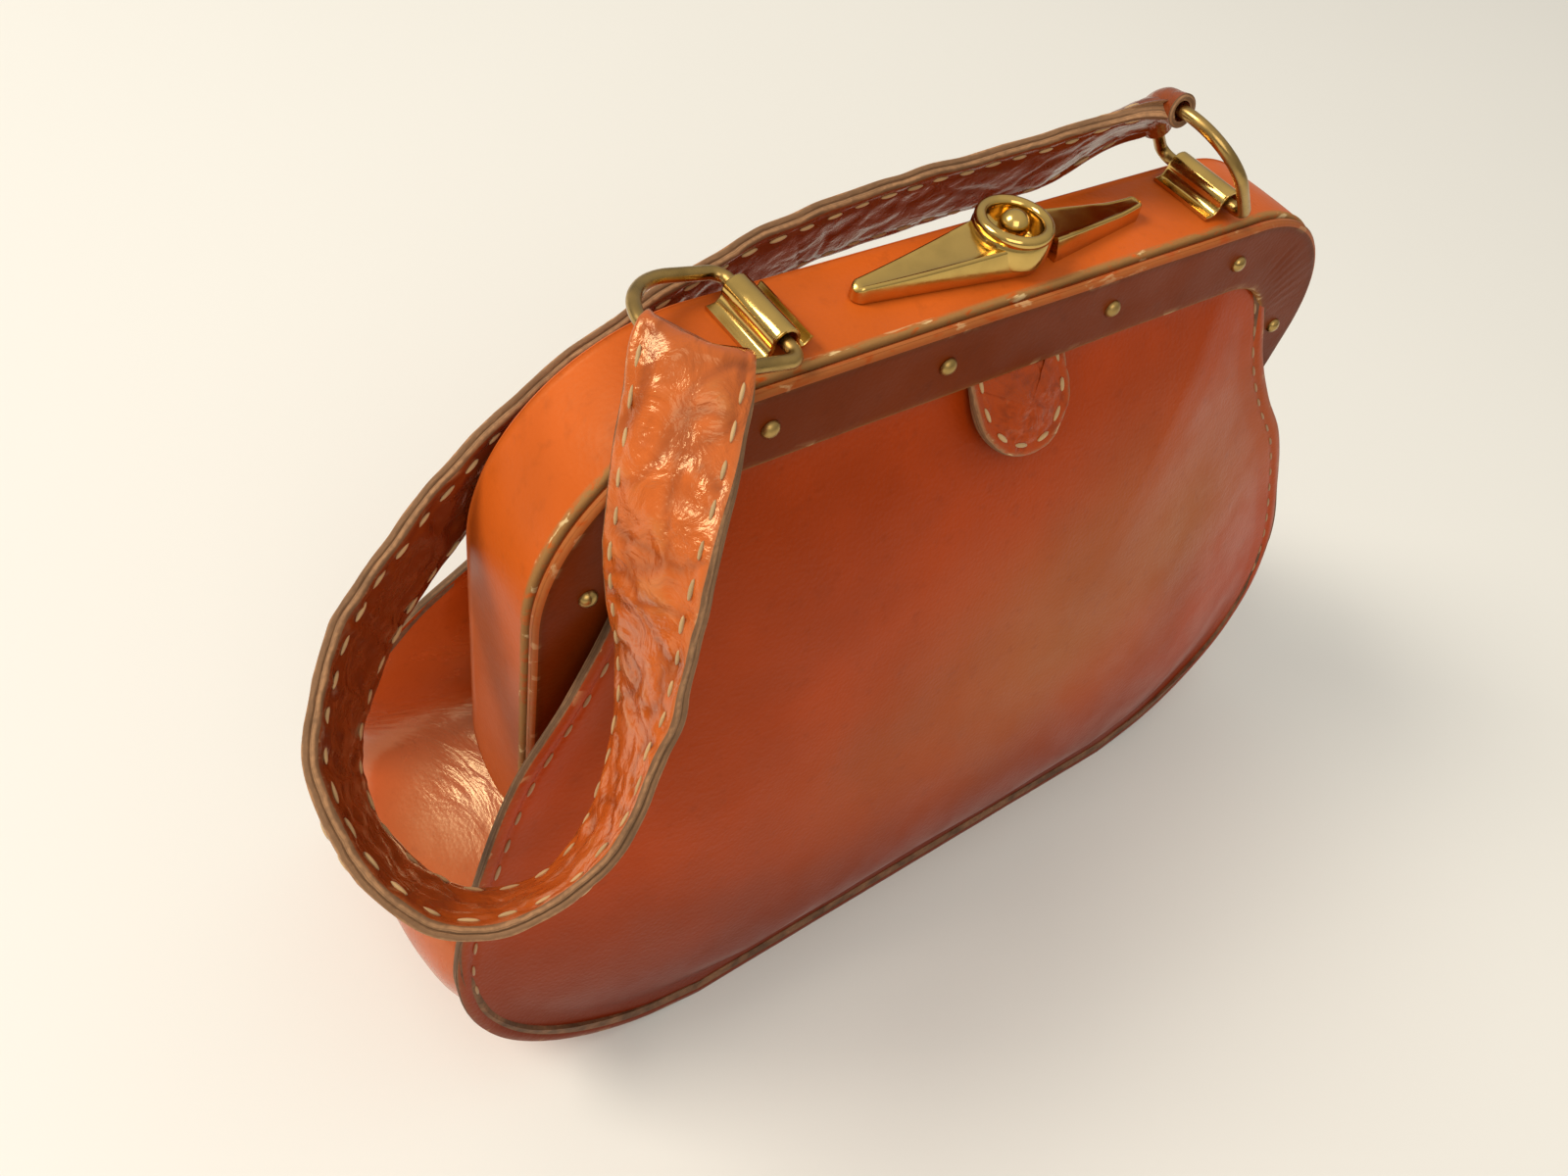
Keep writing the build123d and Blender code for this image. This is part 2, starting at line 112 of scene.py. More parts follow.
# Seam and gusset from top to base. Each row has the seam's x as a share of its half width, its height as a
# share of the bag's, the section's lean in degrees, the share of the depth where the side folds, and how far
# side and middle stand out, as shares of the half width.
GUSSET_SHARES = [
    (0.585, 0.905, 0, 0.60, -0.050, -0.060), (0.640, 0.862, 0, 0.60, -0.047, -0.056),
    (0.695, 0.762, 0, 0.60, -0.040, -0.050), (0.772, 0.673, 0, 0.83, -0.115, -0.136),
    (0.863, 0.588, 0, 0.72, -0.206, -0.228), (0.933, 0.479, 0, 0.62, -0.275, -0.298),
    (0.986, 0.372, 0, 0.60, -0.325, -0.342), (1.000, 0.293, 8, 0.60, -0.175, -0.225),
    (0.982, 0.213, 14, 0.60, 0.000, -0.012), (0.926, 0.138, 32, 0.60, 0.060, 0.085),
    (0.828, 0.072, 54, 0.65, 0.085, 0.100), (0.702, 0.024, 78, 0.72, 0.032, 0.029),
    (0.561, 0.000, 90, 0.75, 0.000, -0.002),
]

# Strap route in millimetres from the left ring to the right one: place, then the direction across the band
STRAP_ROUTE = [
    (-88.9, -9.0, 194.4, 0.46, -0.85, 0.25), (-95.3, -23.8, 187.4, 0.43, -0.89, 0.16),
    (-100.4, -30.9, 165.3, 0.17, -0.94, 0.29), (-103.4, -37.5, 141.0, -0.12, -0.83, 0.53),
    (-115.0, -46.7, 122.2, -0.20, -0.68, 0.70), (-129.4, -49.0, 112.0, -0.33, -0.56, 0.76),
    (-143.7, -43.4, 109.8, -0.32, -0.57, 0.76), (-152.4, -31.1, 114.9, -0.37, -0.53, 0.76),
    (-153.9, -17.1, 122.0, -0.40, -0.42, 0.81), (-148.9, -5.1, 128.2, -0.41, -0.35, 0.84),
    (-133.0, 9.7, 137.6, -0.48, -0.29, 0.83), (-98.6, 20.1, 159.8, -0.43, -0.31, 0.85),
    (-65.0, 21.9, 177.7, -0.26, -0.37, 0.89), (-29.8, 23.0, 185.7, -0.12, -0.40, 0.91),
    (2.5, 22.2, 188.6, -0.12, -0.41, 0.90), (28.8, 19.1, 192.3, -0.28, -0.38, 0.88),
    (44.8, 16.3, 197.4, -0.48, -0.28, 0.83), (51.5, 15.3, 201.2, -0.60, -0.15, 0.79),
]
# Angles on each ring's bow that the strap's two edges hold, in degrees
STRAP_ENDS = {"left": (-3, -88), "right": (95, 14)}
# Distance from a ring's wire to the strap's end; the left end reaches past the wire
STRAP_GRIPS = {"left": -3.3 * MM, "right": 1.7 * MM}
# Rows at each end that are drawn out to the ring's wire
STRAP_DRAWN = {"left": 42, "right": 30}
# Rows, counted back from each end, between which the strap bends from the bag to the ring; place is given
# their middles but does not read them
STRAP_BENDS = {"left": (30, 4), "right": (70, 12)}
# Share of the strap's length where its two stretches meet
STRAP_MEETING = 0.43
# Columns of the strap's face, the columns that carry stitches, and the rows at a ring without stitches
STRAP_FACE = 25
STRAP_STITCH_COLUMNS = (3, 21, 35, 53)
STRAP_BARE_ROWS = 14


def length(name, description, default):
    """A length of the add-on, in metres."""
    return FloatProperty(name=name, description=description, default=default, min=0,
                         unit="LENGTH", subtype="DISTANCE")


def colour(name, description, default):
    """A colour of the add-on, in linear light."""
    return FloatVectorProperty(name=name, description=description, default=default, size=3, min=0, max=1,
                               subtype="COLOR")


class BagSizes(bpy.types.PropertyGroup):
    """Sizes of the dressed pieces and of their detail."""
    edge_round: length("Edge round", "Rounding of the canopy's edges", 0.9 * MM)
    flange_roll: length("Flange roll", "Radius of the leather turned over the flange's outer edge", 1.25 * MM)
    gusset_sheet: length("Gusset sheet", "Thickness of the gusset leather", 1.5 * MM)
    seam_margin: length("Seam margin", "Distance from the sewn edge to the bend of the gusset", 4 * MM)
    stitch_inset: length("Stitch inset", "Distance from a sewn edge to its stitches", 3.4 * MM)
    stitch_length: length("Stitch length", "Length of one stitch of the body", 3.9 * MM)
    stitch_pitch: length("Stitch pitch", "Distance from stitch to stitch on the body", 7.4 * MM)
    thread: length("Thread", "Thickness of the thread", 0.85 * MM)
    strap_width: length("Strap width", "Width of the strap", 24 * MM)
    strap_thickness: length("Strap thickness", "Thickness of both layers of the strap", 3.6 * MM)
    strap_crinkle: length("Strap crinkle", "Height of the strap's crinkles", 0.65 * MM)
    tab_thickness: length("Tab thickness", "Thickness of the pull tab", 2.8 * MM)
    stud_height: length("Stud height", "Height of a stud's dome", 1.6 * MM)
    stud_radius: length("Stud radius", "Radius of a stud", 2.05 * MM)
    bracket_length: length("Bracket length", "Length of a ring's bracket", 17 * MM)
    bracket_sheet: length("Bracket sheet", "Thickness of a bracket's brass", 0.9 * MM)


class BagColours(bpy.types.PropertyGroup):
    """Colours of the leather, thread, metal and floor."""
    frame_leather: colour("Frame leather", "Leather over the frame", (0.58, 0.106, 0.011))
    flange_leather: colour("Flange leather", "Darker leather of the front flange", (0.17, 0.025, 0.002))
    body_leather: colour("Body leather", "Leather of the panels", (0.41, 0.043, 0.003))
    gusset_leather: colour("Gusset leather", "Leather of the gusset", (0.45, 0.060, 0.006))
    strap_leather: colour("Strap leather", "Leather of the strap", (0.57, 0.112, 0.014))
    tab_leather: colour("Tab leather", "Leather of the pull tab", (0.46, 0.052, 0.003))
    flesh_side: colour("Flesh side", "Unfinished inner side of the leather", (0.24, 0.110, 0.050))
    raw_edge: colour("Raw edge", "Cut and worn edges of the leather", (0.34, 0.175, 0.080))
    thread: colour("Thread", "Pale tan thread", (0.55, 0.350, 0.150))
    seam_thread: colour("Seam thread", "Browner thread of the body's seams", (0.40, 0.210, 0.085))
    clasp_brass: colour("Clasp brass", "Polished brass of the clasp", (0.66, 0.440, 0.130))
    aged_brass: colour("Aged brass", "Darkened brass of rings and studs", (0.46, 0.300, 0.100))
    steel: colour("Steel", "Steel of the latch spring", (0.42, 0.400, 0.370))
    floor: colour("Floor", "Pale floor of the stage", (0.84, 0.845, 0.815))


# Points and meshes
def smooth_path(points, count, space=3):
    """Evenly spaced points on a smooth curve through the given ones; the first columns are the place."""
    points = np.asarray(points, float)
    ends = np.vstack([2 * points[0] - points[1], points, 2 * points[-1] - points[-2]])
    t = np.linspace(0, 1, 24, endpoint=False)[:, None]
    dense = []
    for a, b, c, d in zip(ends, ends[1:], ends[2:], ends[3:]):
        dense.append(b + 0.5 * t * (c - a + t * (2 * a - 5 * b + 4 * c - d + t * (3 * (b - c) + d - a))))
    dense = np.vstack([*dense, points[-1:]])
    steps = np.linalg.norm(np.diff(dense[:, :space], axis=0), axis=1)
    reach = np.concatenate([[0], np.cumsum(steps)])
    even = np.linspace(0, reach[-1], count)
    return np.column_stack([np.interp(even, reach, column) for column in dense.T])


def unit(vectors):
    """The vectors at length one."""
    return vectors / np.maximum(np.linalg.norm(vectors, axis=-1, keepdims=True), 1e-12)


def fade(value, low, high):
    """Smooth step from 0 at low to 1 at high."""
    t = np.clip((np.asarray(value, float) - low) / (high - low), 0, 1)
    return t * t * (3 - 2 * t)


def hill(value, centre, width):
    """Smooth hill of height 1 about a centre."""
    return np.exp(-((value - centre) / width) ** 2)


def ripple(points, size, seed):
    """Smooth random values of about -1 to 1 at the points, with waves of the given size."""
    points = np.asarray(points, float)
    offset = Vector((seed, 1.7 * seed, -2.3 * seed))
    flat = [noise.noise(Vector(point) / size + offset) for point in points.reshape(-1, points.shape[-1])]
    return np.array(flat).reshape(points.shape[:-1])


def arc(centre, radius, start_deg, end_deg, count):
    """Points on an arc in a plane."""
    turn = np.radians(np.linspace(start_deg, end_deg, count))
    return np.column_stack([centre[0] + radius * np.cos(turn), centre[1] + radius * np.sin(turn)])


def link(name, mesh):
    """A new object at the origin with this mesh."""
    piece = bpy.data.objects.new(name, mesh)
    bpy.context.scene.collection.objects.link(piece)
    return piece


def smooth_shading(mesh, angle_deg):
    """Smooth shading with sharp edges beyond an angle."""
    mesh.polygons.foreach_set("use_smooth", [True] * len(mesh.polygons))
    mesh.set_sharp_from_angle(angle=math.radians(angle_deg))
    mesh.update()


def loft(name, loops, materials, column_slots=0, ring=False, fields=None, sharp_deg=45):
    """A skin over rows of closed loops, with capped ends, or closed on itself as a ring; uv is in metres."""
    loops = np.asarray(loops, float)
    rows, columns = loops.shape[:2]
    index = np.arange(rows * columns).reshape(rows, columns)
    ahead = np.roll(index, -1, axis=1)
    count = rows if ring else rows - 1
    quads = np.stack([index, ahead, np.roll(ahead, -1, axis=0), np.roll(index, -1, axis=0)], axis=2)[:count]
    faces = quads.reshape(-1, 4).tolist()
    slots = np.tile(np.broadcast_to(column_slots, columns), count).tolist()
    if not ring:
        faces += [index[0, ::-1].tolist(), index[-1].tolist()]
        slots += [slots[0]] * 2
    mesh = bpy.data.meshes.new(name)
    mesh.from_pydata(loops.reshape(-1, 3).tolist(), [], faces)
    for material in materials:
        mesh.materials.append(material)
    mesh.polygons.foreach_set("material_index", slots)
    for key, values in (fields or {}).items():
        field = mesh.attributes.new(key, "FLOAT", "POINT")
        field.data.foreach_set("value", np.broadcast_to(values, (rows, columns)).astype(np.float32).ravel())
    along = np.concatenate([[0], np.cumsum(np.linalg.norm(np.diff(loops[:, 0], axis=0), axis=1)), [0]])
    wrapped = np.vstack([loops[rows // 2], loops[rows // 2, :1]])
    around = np.concatenate([[0], np.cumsum(np.linalg.norm(np.diff(wrapped, axis=0), axis=1))])
    row, column = np.meshgrid(np.arange(count), np.arange(columns), indexing="ij")
    corners = np.stack([
        np.stack([along[row], along[row], along[row + 1], along[row + 1]], axis=2),
        np.stack([around[column], around[column + 1], around[column + 1], around[column]], axis=2),
    ], axis=3).reshape(-1, 2)
    uv = mesh.uv_layers.new(name="UVMap")
    uv.data.foreach_set("uv", np.vstack([corners, np.zeros((len(uv.data) - len(corners), 2))]).ravel())
    bm = bmesh.new()
    bm.from_mesh(mesh)
    bmesh.ops.recalc_face_normals(bm, faces=bm.faces)
    bm.to_mesh(mesh)
    bm.free()
    smooth_shading(mesh, sharp_deg)
    return link(name, mesh)


def lathe(name, profile, material, closed=False):
    """A turned piece about the clasp's axis, from (radius, height) points."""
    columns = 72
    turn = np.linspace(0, 2 * math.pi, columns, endpoint=False)
    loops = [np.column_stack([r * np.cos(turn), r * np.sin(turn), np.full(columns, z)]) for r, z in profile]
    return loft(name, loops, [material], ring=closed, sharp_deg=38)


def finished_copy(node, material, bevel=0.0):
    """A CAD node's mesh with its points merged, its edges broken by a bevel, and one material."""
    bm = bmesh.new()
    bm.from_mesh(frame["nodes"][node].data)
    bmesh.ops.remove_doubles(bm, verts=bm.verts, dist=0.002 * MM)
    if bevel:
        bmesh.ops.dissolve_limit(bm, angle_limit=math.radians(3), verts=bm.verts, edges=bm.edges)
        sharp = [e for e in bm.edges if len(e.link_faces) == 2 and e.calc_face_angle() > math.radians(35)]
        bmesh.ops.bevel(bm, geom=sharp, offset=bevel, segments=3, profile=0.5, affect="EDGES",
                        clamp_overlap=True)
    mesh = bpy.data.meshes.new(node + "_dressed")
    bm.to_mesh(mesh)
    bm.free()
    mesh.materials.clear()
    mesh.materials.append(material)
    mesh.polygons.foreach_set("material_index", [0] * len(mesh.polygons))
    smooth_shading(mesh, 40)
    return link(node + "_dressed", mesh)


def join(pieces):
    """One object from several, under the first one's name."""
    with bpy.context.temp_override(active_object=pieces[0], selected_editable_objects=pieces):
        bpy.ops.object.join()
    return pieces[0]


def place(piece, body=None, stands_for=(), bend=None):
    """Hides the CAD nodes that a finished piece stands for, and attaches it to its body; a piece given a bend
    is only fixed where it stands.
    """
    if stands_for:
        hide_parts(*stands_for)
    if bend:
        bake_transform(piece)
    else:
        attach(piece, body)


# Node trees
class Graph:
    """Adds nodes to a tree; an input is a value, or the socket that feeds it."""

    def __init__(self, tree):
        self.tree = tree

    def add(self, kind, inputs=None, **settings):
        node = self.tree.nodes.new(kind)
        for key, value in settings.items():
            setattr(node, key, value)
        for key, value in (inputs or {}).items():
            if isinstance(value, bpy.types.NodeSocket):
                self.tree.links.new(value, node.inputs[key])
            else:
                node.inputs[key].default_value = value
        return node


class Paint(Graph):
    """A material's tree with short names for the nodes that the finishes share."""

    def __init__(self, name, **shader):
        self.material = bpy.data.materials.new(name)
        self.material.use_nodes = True
        super().__init__(self.material.node_tree)
        self.tree.nodes.clear()
        self.surface = self.add("ShaderNodeBsdfPrincipled", shader)
        self.add("ShaderNodeOutputMaterial", {"Surface": self.surface.outputs["BSDF"]})
        self.spot = self.add("ShaderNodeTexCoord").outputs["Object"]

    def feed(self, key, socket):
        self.tree.links.new(socket, self.surface.inputs[key])

    def field(self, name):
        return self.add("ShaderNodeAttribute", attribute_name=name).outputs["Fac"]

    def noise(self, scale, detail=3.0, spot=None, distortion=0.0):
        inputs = {"Vector": spot or self.spot, "Scale": scale, "Detail": detail, "Distortion": distortion}
        return self.add("ShaderNodeTexNoise", inputs).outputs["Fac"]

    def cells(self, scale, spot=None):
        inputs = {"Vector": spot or self.spot, "Scale": scale, "Smoothness": 0.6}
        return self.add("ShaderNodeTexVoronoi", inputs, feature="SMOOTH_F1").outputs["Distance"]

    def stretched(self, factors):
        return self.add("ShaderNodeMapping", {"Vector": self.spot, "Scale": factors}).outputs["Vector"]

    def fade(self, value, low, high, start=0.0, end=1.0):
        inputs = {"Value": value, "From Min": low, "From Max": high, "To Min": start, "To Max": end}
        return self.add("ShaderNodeMapRange", inputs, interpolation_type="SMOOTHSTEP").outputs["Result"]

    def calc(self, operation, a, b):
        return self.add("ShaderNodeMath", {0: a, 1: b}, operation=operation).outputs[0]

    def mix(self, factor, a, b):
        node = self.add("ShaderNodeMix", {0: factor}, data_type="RGBA")
        for key, value in ((6, a), (7, b)):
            if isinstance(value, bpy.types.NodeSocket):
                self.tree.links.new(value, node.inputs[key])
            else:
                node.inputs[key].default_value = (*value[:3], 1)
        return node.outputs[2]

    def bump(self, height, distance, normal=None):
        inputs = {"Height": height, "Distance": distance, "Strength": 1.0}
        if normal:
            inputs["Normal"] = normal
        return self.add("ShaderNodeBump", inputs).outputs["Normal"]


def scaled(tone, factor):
    """A colour made lighter or darker."""
    return [min(1.0, channel * factor) for channel in tone]


def tinted(tone, factors):
    """A colour with each channel made stronger or weaker."""
    return [channel * factor for channel, factor in zip(tone, factors)]


# Leather reads fields from 0 to 1 on its mesh: a painted sheen makes it paler, painted shade darker, crease
# wrinkles it, and wear rubs and chips it. On raw edges, layer runs through the thickness and painted shade
# darkens.
GLOSS_TINT = (1.0, 0.80, 0.46, 1)
SHEEN_TINT = (0.95, 2.6, 7)
SHADE_TINT = (0.29, 0.21, 0.35)
EDGE_SHADE_TINT = (0.45, 0.3, 0.3)
CHIP_TONE = (0.74, 0.54, 0.27)


def leather(name, base, worn, rough, gloss, coat=0.0, pores=0.03, crinkle=0.4, crease_scale=(90, 90, 90)):
    """Finished leather: clouded tone, flecks, pores, and what its fields call for; depths in millimetres."""
    paint = Paint(name, **{"Coat Weight": coat, "Coat Roughness": 0.24, "Specular IOR Level": gloss,
                           "Specular Tint": GLOSS_TINT})
    cloud = paint.fade(paint.noise(22, 3), 0.34, 0.70)
    tone = paint.mix(cloud, scaled(base, 1.08), scaled(base, 0.84))
    # Painted sheen and painted shade, where the fields ask for them
    tone = paint.mix(paint.field("painted_sheen"), tone, tinted(base, SHEEN_TINT))
    tone = paint.mix(paint.field("shade"), tone, tinted(base, SHADE_TINT))
    fleck = paint.fade(paint.noise(310, 4), 0.54, 0.82, 0, 0.32)
    tone = paint.mix(fleck, tone, scaled(base, 0.55))
    wear = paint.field("wear")
    rub = paint.fade(paint.noise(1.0, 5, paint.stretched((220, 700, 480)), 0.6), 0.26, 0.52)
    rubbed = paint.calc("MULTIPLY", wear, rub)
    tone = paint.mix(rubbed, tone, worn)
    flake = paint.fade(paint.noise(1.0, 4, paint.stretched((120, 420, 260)), 0.4), 0.60, 0.66)
    chip = paint.calc("MULTIPLY", wear, flake)
    paint.feed("Base Color", paint.mix(chip, tone, CHIP_TONE))
    sheen = paint.fade(paint.noise(75, 4), 0.3, 0.75, rough - 0.06, rough + 0.09)
    paint.feed("Roughness", paint.calc("ADD", sheen, paint.fade(rubbed, 0, 1, 0, 0.3)))
    normal = paint.bump(paint.cells(980), pores * MM)
    normal = paint.bump(paint.noise(1700, 2), 0.4 * pores * MM, normal)
    wrinkle = paint.noise(1.0, 5, paint.stretched(crease_scale), 0.9)
    folds = paint.calc("MULTIPLY", wrinkle, paint.field("crease"))
    paint.feed("Normal", paint.bump(folds, crinkle * MM, normal))
    return paint.material


def cut_edge(name, base):
    """Raw cut leather: layers along the edge by the layer field, fibres, dirt, and painted shade by a
    darkening field.
    """
    paint = Paint(name, **{"Roughness": 0.7, "Specular IOR Level": 0.3})
    wobble = paint.calc("MULTIPLY", paint.noise(210, 4), 1.9)
    layers = paint.calc("ADD", paint.calc("MULTIPLY", paint.field("layer"), 5.0), wobble)
    streak = paint.add("ShaderNodeTexNoise", {"W": layers, "Scale": 1.0, "Detail": 3}, noise_dimensions="1D")
    tone = paint.mix(paint.fade(streak.outputs["Fac"], 0.34, 0.66), scaled(base, 0.42), scaled(base, 1.35))
    fibre = paint.fade(paint.noise(900, 4), 0.36, 0.70, 0, 0.6)
    tone = paint.mix(fibre, tone, scaled(base, 0.6))
    dirt = paint.fade(paint.noise(90, 4), 0.48, 0.74, 0, 0.6)
    tone = paint.mix(dirt, tone, scaled(base, 0.38))
    # Painted shade where the darkening field asks for it
    paint.feed("Base Color", paint.mix(paint.field("darkening"), tone, tinted(base, EDGE_SHADE_TINT)))
    paint.feed("Normal", paint.bump(paint.noise(700, 5), 0.22 * MM))
    return paint.material


def yarn(name, base):
    """Waxed thread, soiled in places."""
    paint = Paint(name, **{"Roughness": 0.6, "Sheen Weight": 0.2})
    darkening = paint.fade(paint.noise(160, 3), 0.4, 0.75, 0, 0.6)
    paint.feed("Base Color", paint.mix(darkening, base, scaled(base, 0.55)))
    paint.feed("Normal", paint.bump(paint.noise(2600, 2), 0.06 * MM))
    return paint.material


def metal(name, base, rough, tarnish):
    """Worn metal: fine scratches, cloudy polish and dark tarnish."""
    paint = Paint(name, Metallic=1.0)
    cloud = paint.fade(paint.noise(130, 5), 0.40, 0.78, 0, tarnish)
    paint.feed("Base Color", paint.mix(cloud, base, scaled(base, 0.34)))
    paint.feed("Roughness", paint.fade(paint.noise(210, 4), 0.3, 0.8, rough * 0.7, rough * 1.7))
    scratch = paint.noise(1.0, 3, paint.stretched((2600, 260, 900)))
    paint.feed("Normal", paint.bump(scratch, 0.012 * MM))
    return paint.material


def plain_floor(name, base):
    """Pale matt floor."""
    paint = Paint(name, **{"Roughness": 0.6, "Specular IOR Level": 0.25})
    cloud = paint.fade(paint.noise(3.0, 2), 0.3, 0.7, 0, 0.12)
    paint.feed("Base Color", paint.mix(cloud, base, scaled(base, 0.93)))
    return paint.material


MATERIALS = {}


def materials():
    """All finishes by name, made once."""
    if MATERIALS:
        return MATERIALS
    tones = bpy.context.scene.bag_colours
    raw = tones.raw_edge
    gilt, dull = (raw[0] * 1.05, raw[1], raw[2] * 0.7), scaled(raw, 0.6)
    MATERIALS.update(
        frame=leather("frame_leather", tones.frame_leather, gilt, rough=0.44, gloss=0.24, pores=0.045),
        flange=leather("flange_leather", tones.flange_leather, gilt, rough=0.40, gloss=0.08, pores=0.045),
        panel=leather("body_leather", tones.body_leather, dull, rough=0.38, gloss=0.24, pores=0.07,
                      crinkle=0.5, crease_scale=(160, 160, 260)),
        gusset=leather("gusset_leather", tones.gusset_leather, dull, rough=0.23, gloss=1.0, coat=0.12,
                       crinkle=1.3, crease_scale=(60, 60, 420)),
        strap=leather("strap_leather", tones.strap_leather, raw, rough=0.21, gloss=0.9, coat=0.10,
                      crinkle=1.1, crease_scale=(150, 150, 150)),
        tab=leather("tab_leather", tones.tab_leather, raw, rough=0.26, gloss=0.5, coat=0.05,
                    crinkle=0.9, crease_scale=(220, 220, 220)),
        flesh=cut_edge("leather_inside", tones.flesh_side),
        raw=cut_edge("leather_edge", raw),
        seam=cut_edge("seam_edge", dull),
        thread=yarn("thread", tones.thread),
        seam_thread=yarn("seam_thread", tones.seam_thread),
        brass=metal("clasp_brass", tones.clasp_brass, rough=0.16, tarnish=0.25),
        aged=metal("aged_brass", tones.aged_brass, rough=0.30, tarnish=0.55),
        steel=metal("spring_steel", tones.steel, rough=0.30, tarnish=0.2),
    )
    return MATERIALS


# Repeated detail by geometry nodes
def detail_tree(name, inputs):
    """Starts a geometry tree with named lengths; returns its node adder and the sockets of its inputs."""
    tree = bpy.data.node_groups.new(name, "GeometryNodeTree")
    tree.interface.new_socket("Geometry", in_out="INPUT", socket_type="NodeSocketGeometry")
    for key in inputs:
        tree.interface.new_socket(key, in_out="INPUT", socket_type="NodeSocketFloat")
    tree.interface.new_socket("Geometry", in_out="OUTPUT", socket_type="NodeSocketGeometry")
    graph = Graph(tree)
    return graph, graph.add("NodeGroupInput").outputs


def finish_tree(graph, instances, material):
    """Ends a tree with real mesh in one material."""
    real = graph.add("GeometryNodeRealizeInstances", {"Geometry": instances}).outputs["Geometry"]
    smooth = graph.add("GeometryNodeSetShadeSmooth", {"Geometry": real}).outputs["Geometry"]
    painted = graph.add("GeometryNodeSetMaterial", {"Geometry": smooth, "Material": material})
    graph.add("NodeGroupOutput", {"Geometry": painted.outputs["Geometry"]})
    return graph.tree


def facing_turn(graph, tangent=None):
    """Rotation that stands an instance on the surface, along the line if there is one."""
    facing = graph.add("GeometryNodeInputNamedAttribute", {"Name": "facing"}, data_type="FLOAT_VECTOR")
    stand = {"Vector": facing.outputs["Attribute"]}
    if tangent:
        lie = graph.add("FunctionNodeAlignRotationToVector", {"Vector": tangent}, axis="X")
        stand["Rotation"] = lie.outputs["Rotation"]
    pivot = "X" if tangent else "AUTO"
    turn = graph.add("FunctionNodeAlignRotationToVector", stand, axis="Z", pivot_axis=pivot)
    return turn.outputs["Rotation"]


def stitch_tree(thread):
    """Stitches along a line: stretched beads of one thread at even steps, each a little different."""
    graph, sizes = detail_tree("Stitches in " + thread, ("Length", "Thread", "Pitch"))
    curve = graph.add("GeometryNodeMeshToCurve", {"Mesh": sizes["Geometry"]}).outputs["Curve"]
    steps = graph.add("GeometryNodeResampleCurve", {"Curve": curve, "Length": sizes["Pitch"]}, mode="LENGTH")
    bead = graph.add("GeometryNodeMeshUVSphere", {"Segments": 10, "Rings": 8, "Radius": 0.5}).outputs["Mesh"]
    size = graph.add("ShaderNodeCombineXYZ", {
        "X": sizes["Length"], "Y": sizes["Thread"], "Z": sizes["Thread"],
    })
    vary = graph.add("FunctionNodeRandomValue", {
        "Min": (0.82, 0.85, 0.8), "Max": (1.1, 1.15, 1.1), "Seed": 7,
    }, data_type="FLOAT_VECTOR")
    varied = graph.add("ShaderNodeVectorMath", {0: size.outputs[0], 1: vary.outputs[0]}, operation="MULTIPLY")
    tangent = graph.add("GeometryNodeInputTangent").outputs["Tangent"]
    beads = graph.add("GeometryNodeInstanceOnPoints", {
        "Points": steps.outputs["Curve"], "Instance": bead,
        "Rotation": facing_turn(graph, tangent), "Scale": varied.outputs[0],
    })
    return finish_tree(graph, beads.outputs["Instances"], materials()[thread])


def stud_tree():
    """Domed studs: half spheres that stand on the surface."""
    graph, sizes = detail_tree("Studs", ("Radius", "Height"))
    ball = graph.add("GeometryNodeMeshUVSphere", {"Segments": 28, "Rings": 14, "Radius": 1.0}).outputs["Mesh"]
    spot = graph.add("ShaderNodeSeparateXYZ", {"Vector": graph.add("GeometryNodeInputPosition").outputs[0]})
    under = graph.add("ShaderNodeMath", {0: spot.outputs["Z"], 1: -0.05}, operation="LESS_THAN").outputs[0]
    dome = graph.add("GeometryNodeDeleteGeometry", {"Geometry": ball, "Selection": under}).outputs["Geometry"]
    size = graph.add("ShaderNodeCombineXYZ", {
        "X": sizes["Radius"], "Y": sizes["Radius"], "Z": sizes["Height"],
    })
    points = graph.add("GeometryNodeMeshToPoints", {"Mesh": sizes["Geometry"]}).outputs["Points"]
    domes = graph.add("GeometryNodeInstanceOnPoints", {
        "Points": points, "Instance": dome, "Rotation": facing_turn(graph), "Scale": size.outputs[0],
    })
    return finish_tree(graph, domes.outputs["Instances"], materials()["aged"])


def grow(name, points, facing, tree, values, joined=True):
    """Runs a tree on a line of points that know which way they face, and keeps a plain mesh."""
    line = bpy.data.meshes.new(name + "_line")
    edges = [(i, i + 1) for i in range(len(points) - 1)] if joined else []
    line.from_pydata(np.asarray(points).tolist(), edges, [])
    field = line.attributes.new("facing", "FLOAT_VECTOR", "POINT")
    field.data.foreach_set("vector", np.broadcast_to(facing, (len(points), 3)).astype(np.float32).ravel())
    carrier = link(name + "_line", line)
    modifier = carrier.modifiers.new("Detail", "NODES")
    modifier.node_group = tree
    for socket in tree.interface.items_tree:
        if socket.name in values:
            modifier[socket.identifier] = values[socket.name]
    evaluated = carrier.evaluated_get(bpy.context.evaluated_depsgraph_get())
    mesh = bpy.data.meshes.new_from_object(evaluated)
    carrier.modifiers.remove(modifier)
    bpy.data.objects.remove(carrier)
    return link(name, mesh)


def stitch(name, points, facing, thread="thread", length_share=1.0, pitch_share=1.0, thread_share=1.0):
    """A row of stitches on a line."""
    sizes = bpy.context.scene.bag_sizes
    tree = bpy.data.node_groups.get("Stitches in " + thread) or stitch_tree(thread)
    return grow(name, points, facing, tree, {
        "Length": sizes.stitch_length * length_share, "Pitch": sizes.stitch_pitch * pitch_share,
        "Thread": sizes.thread * thread_share,
    })


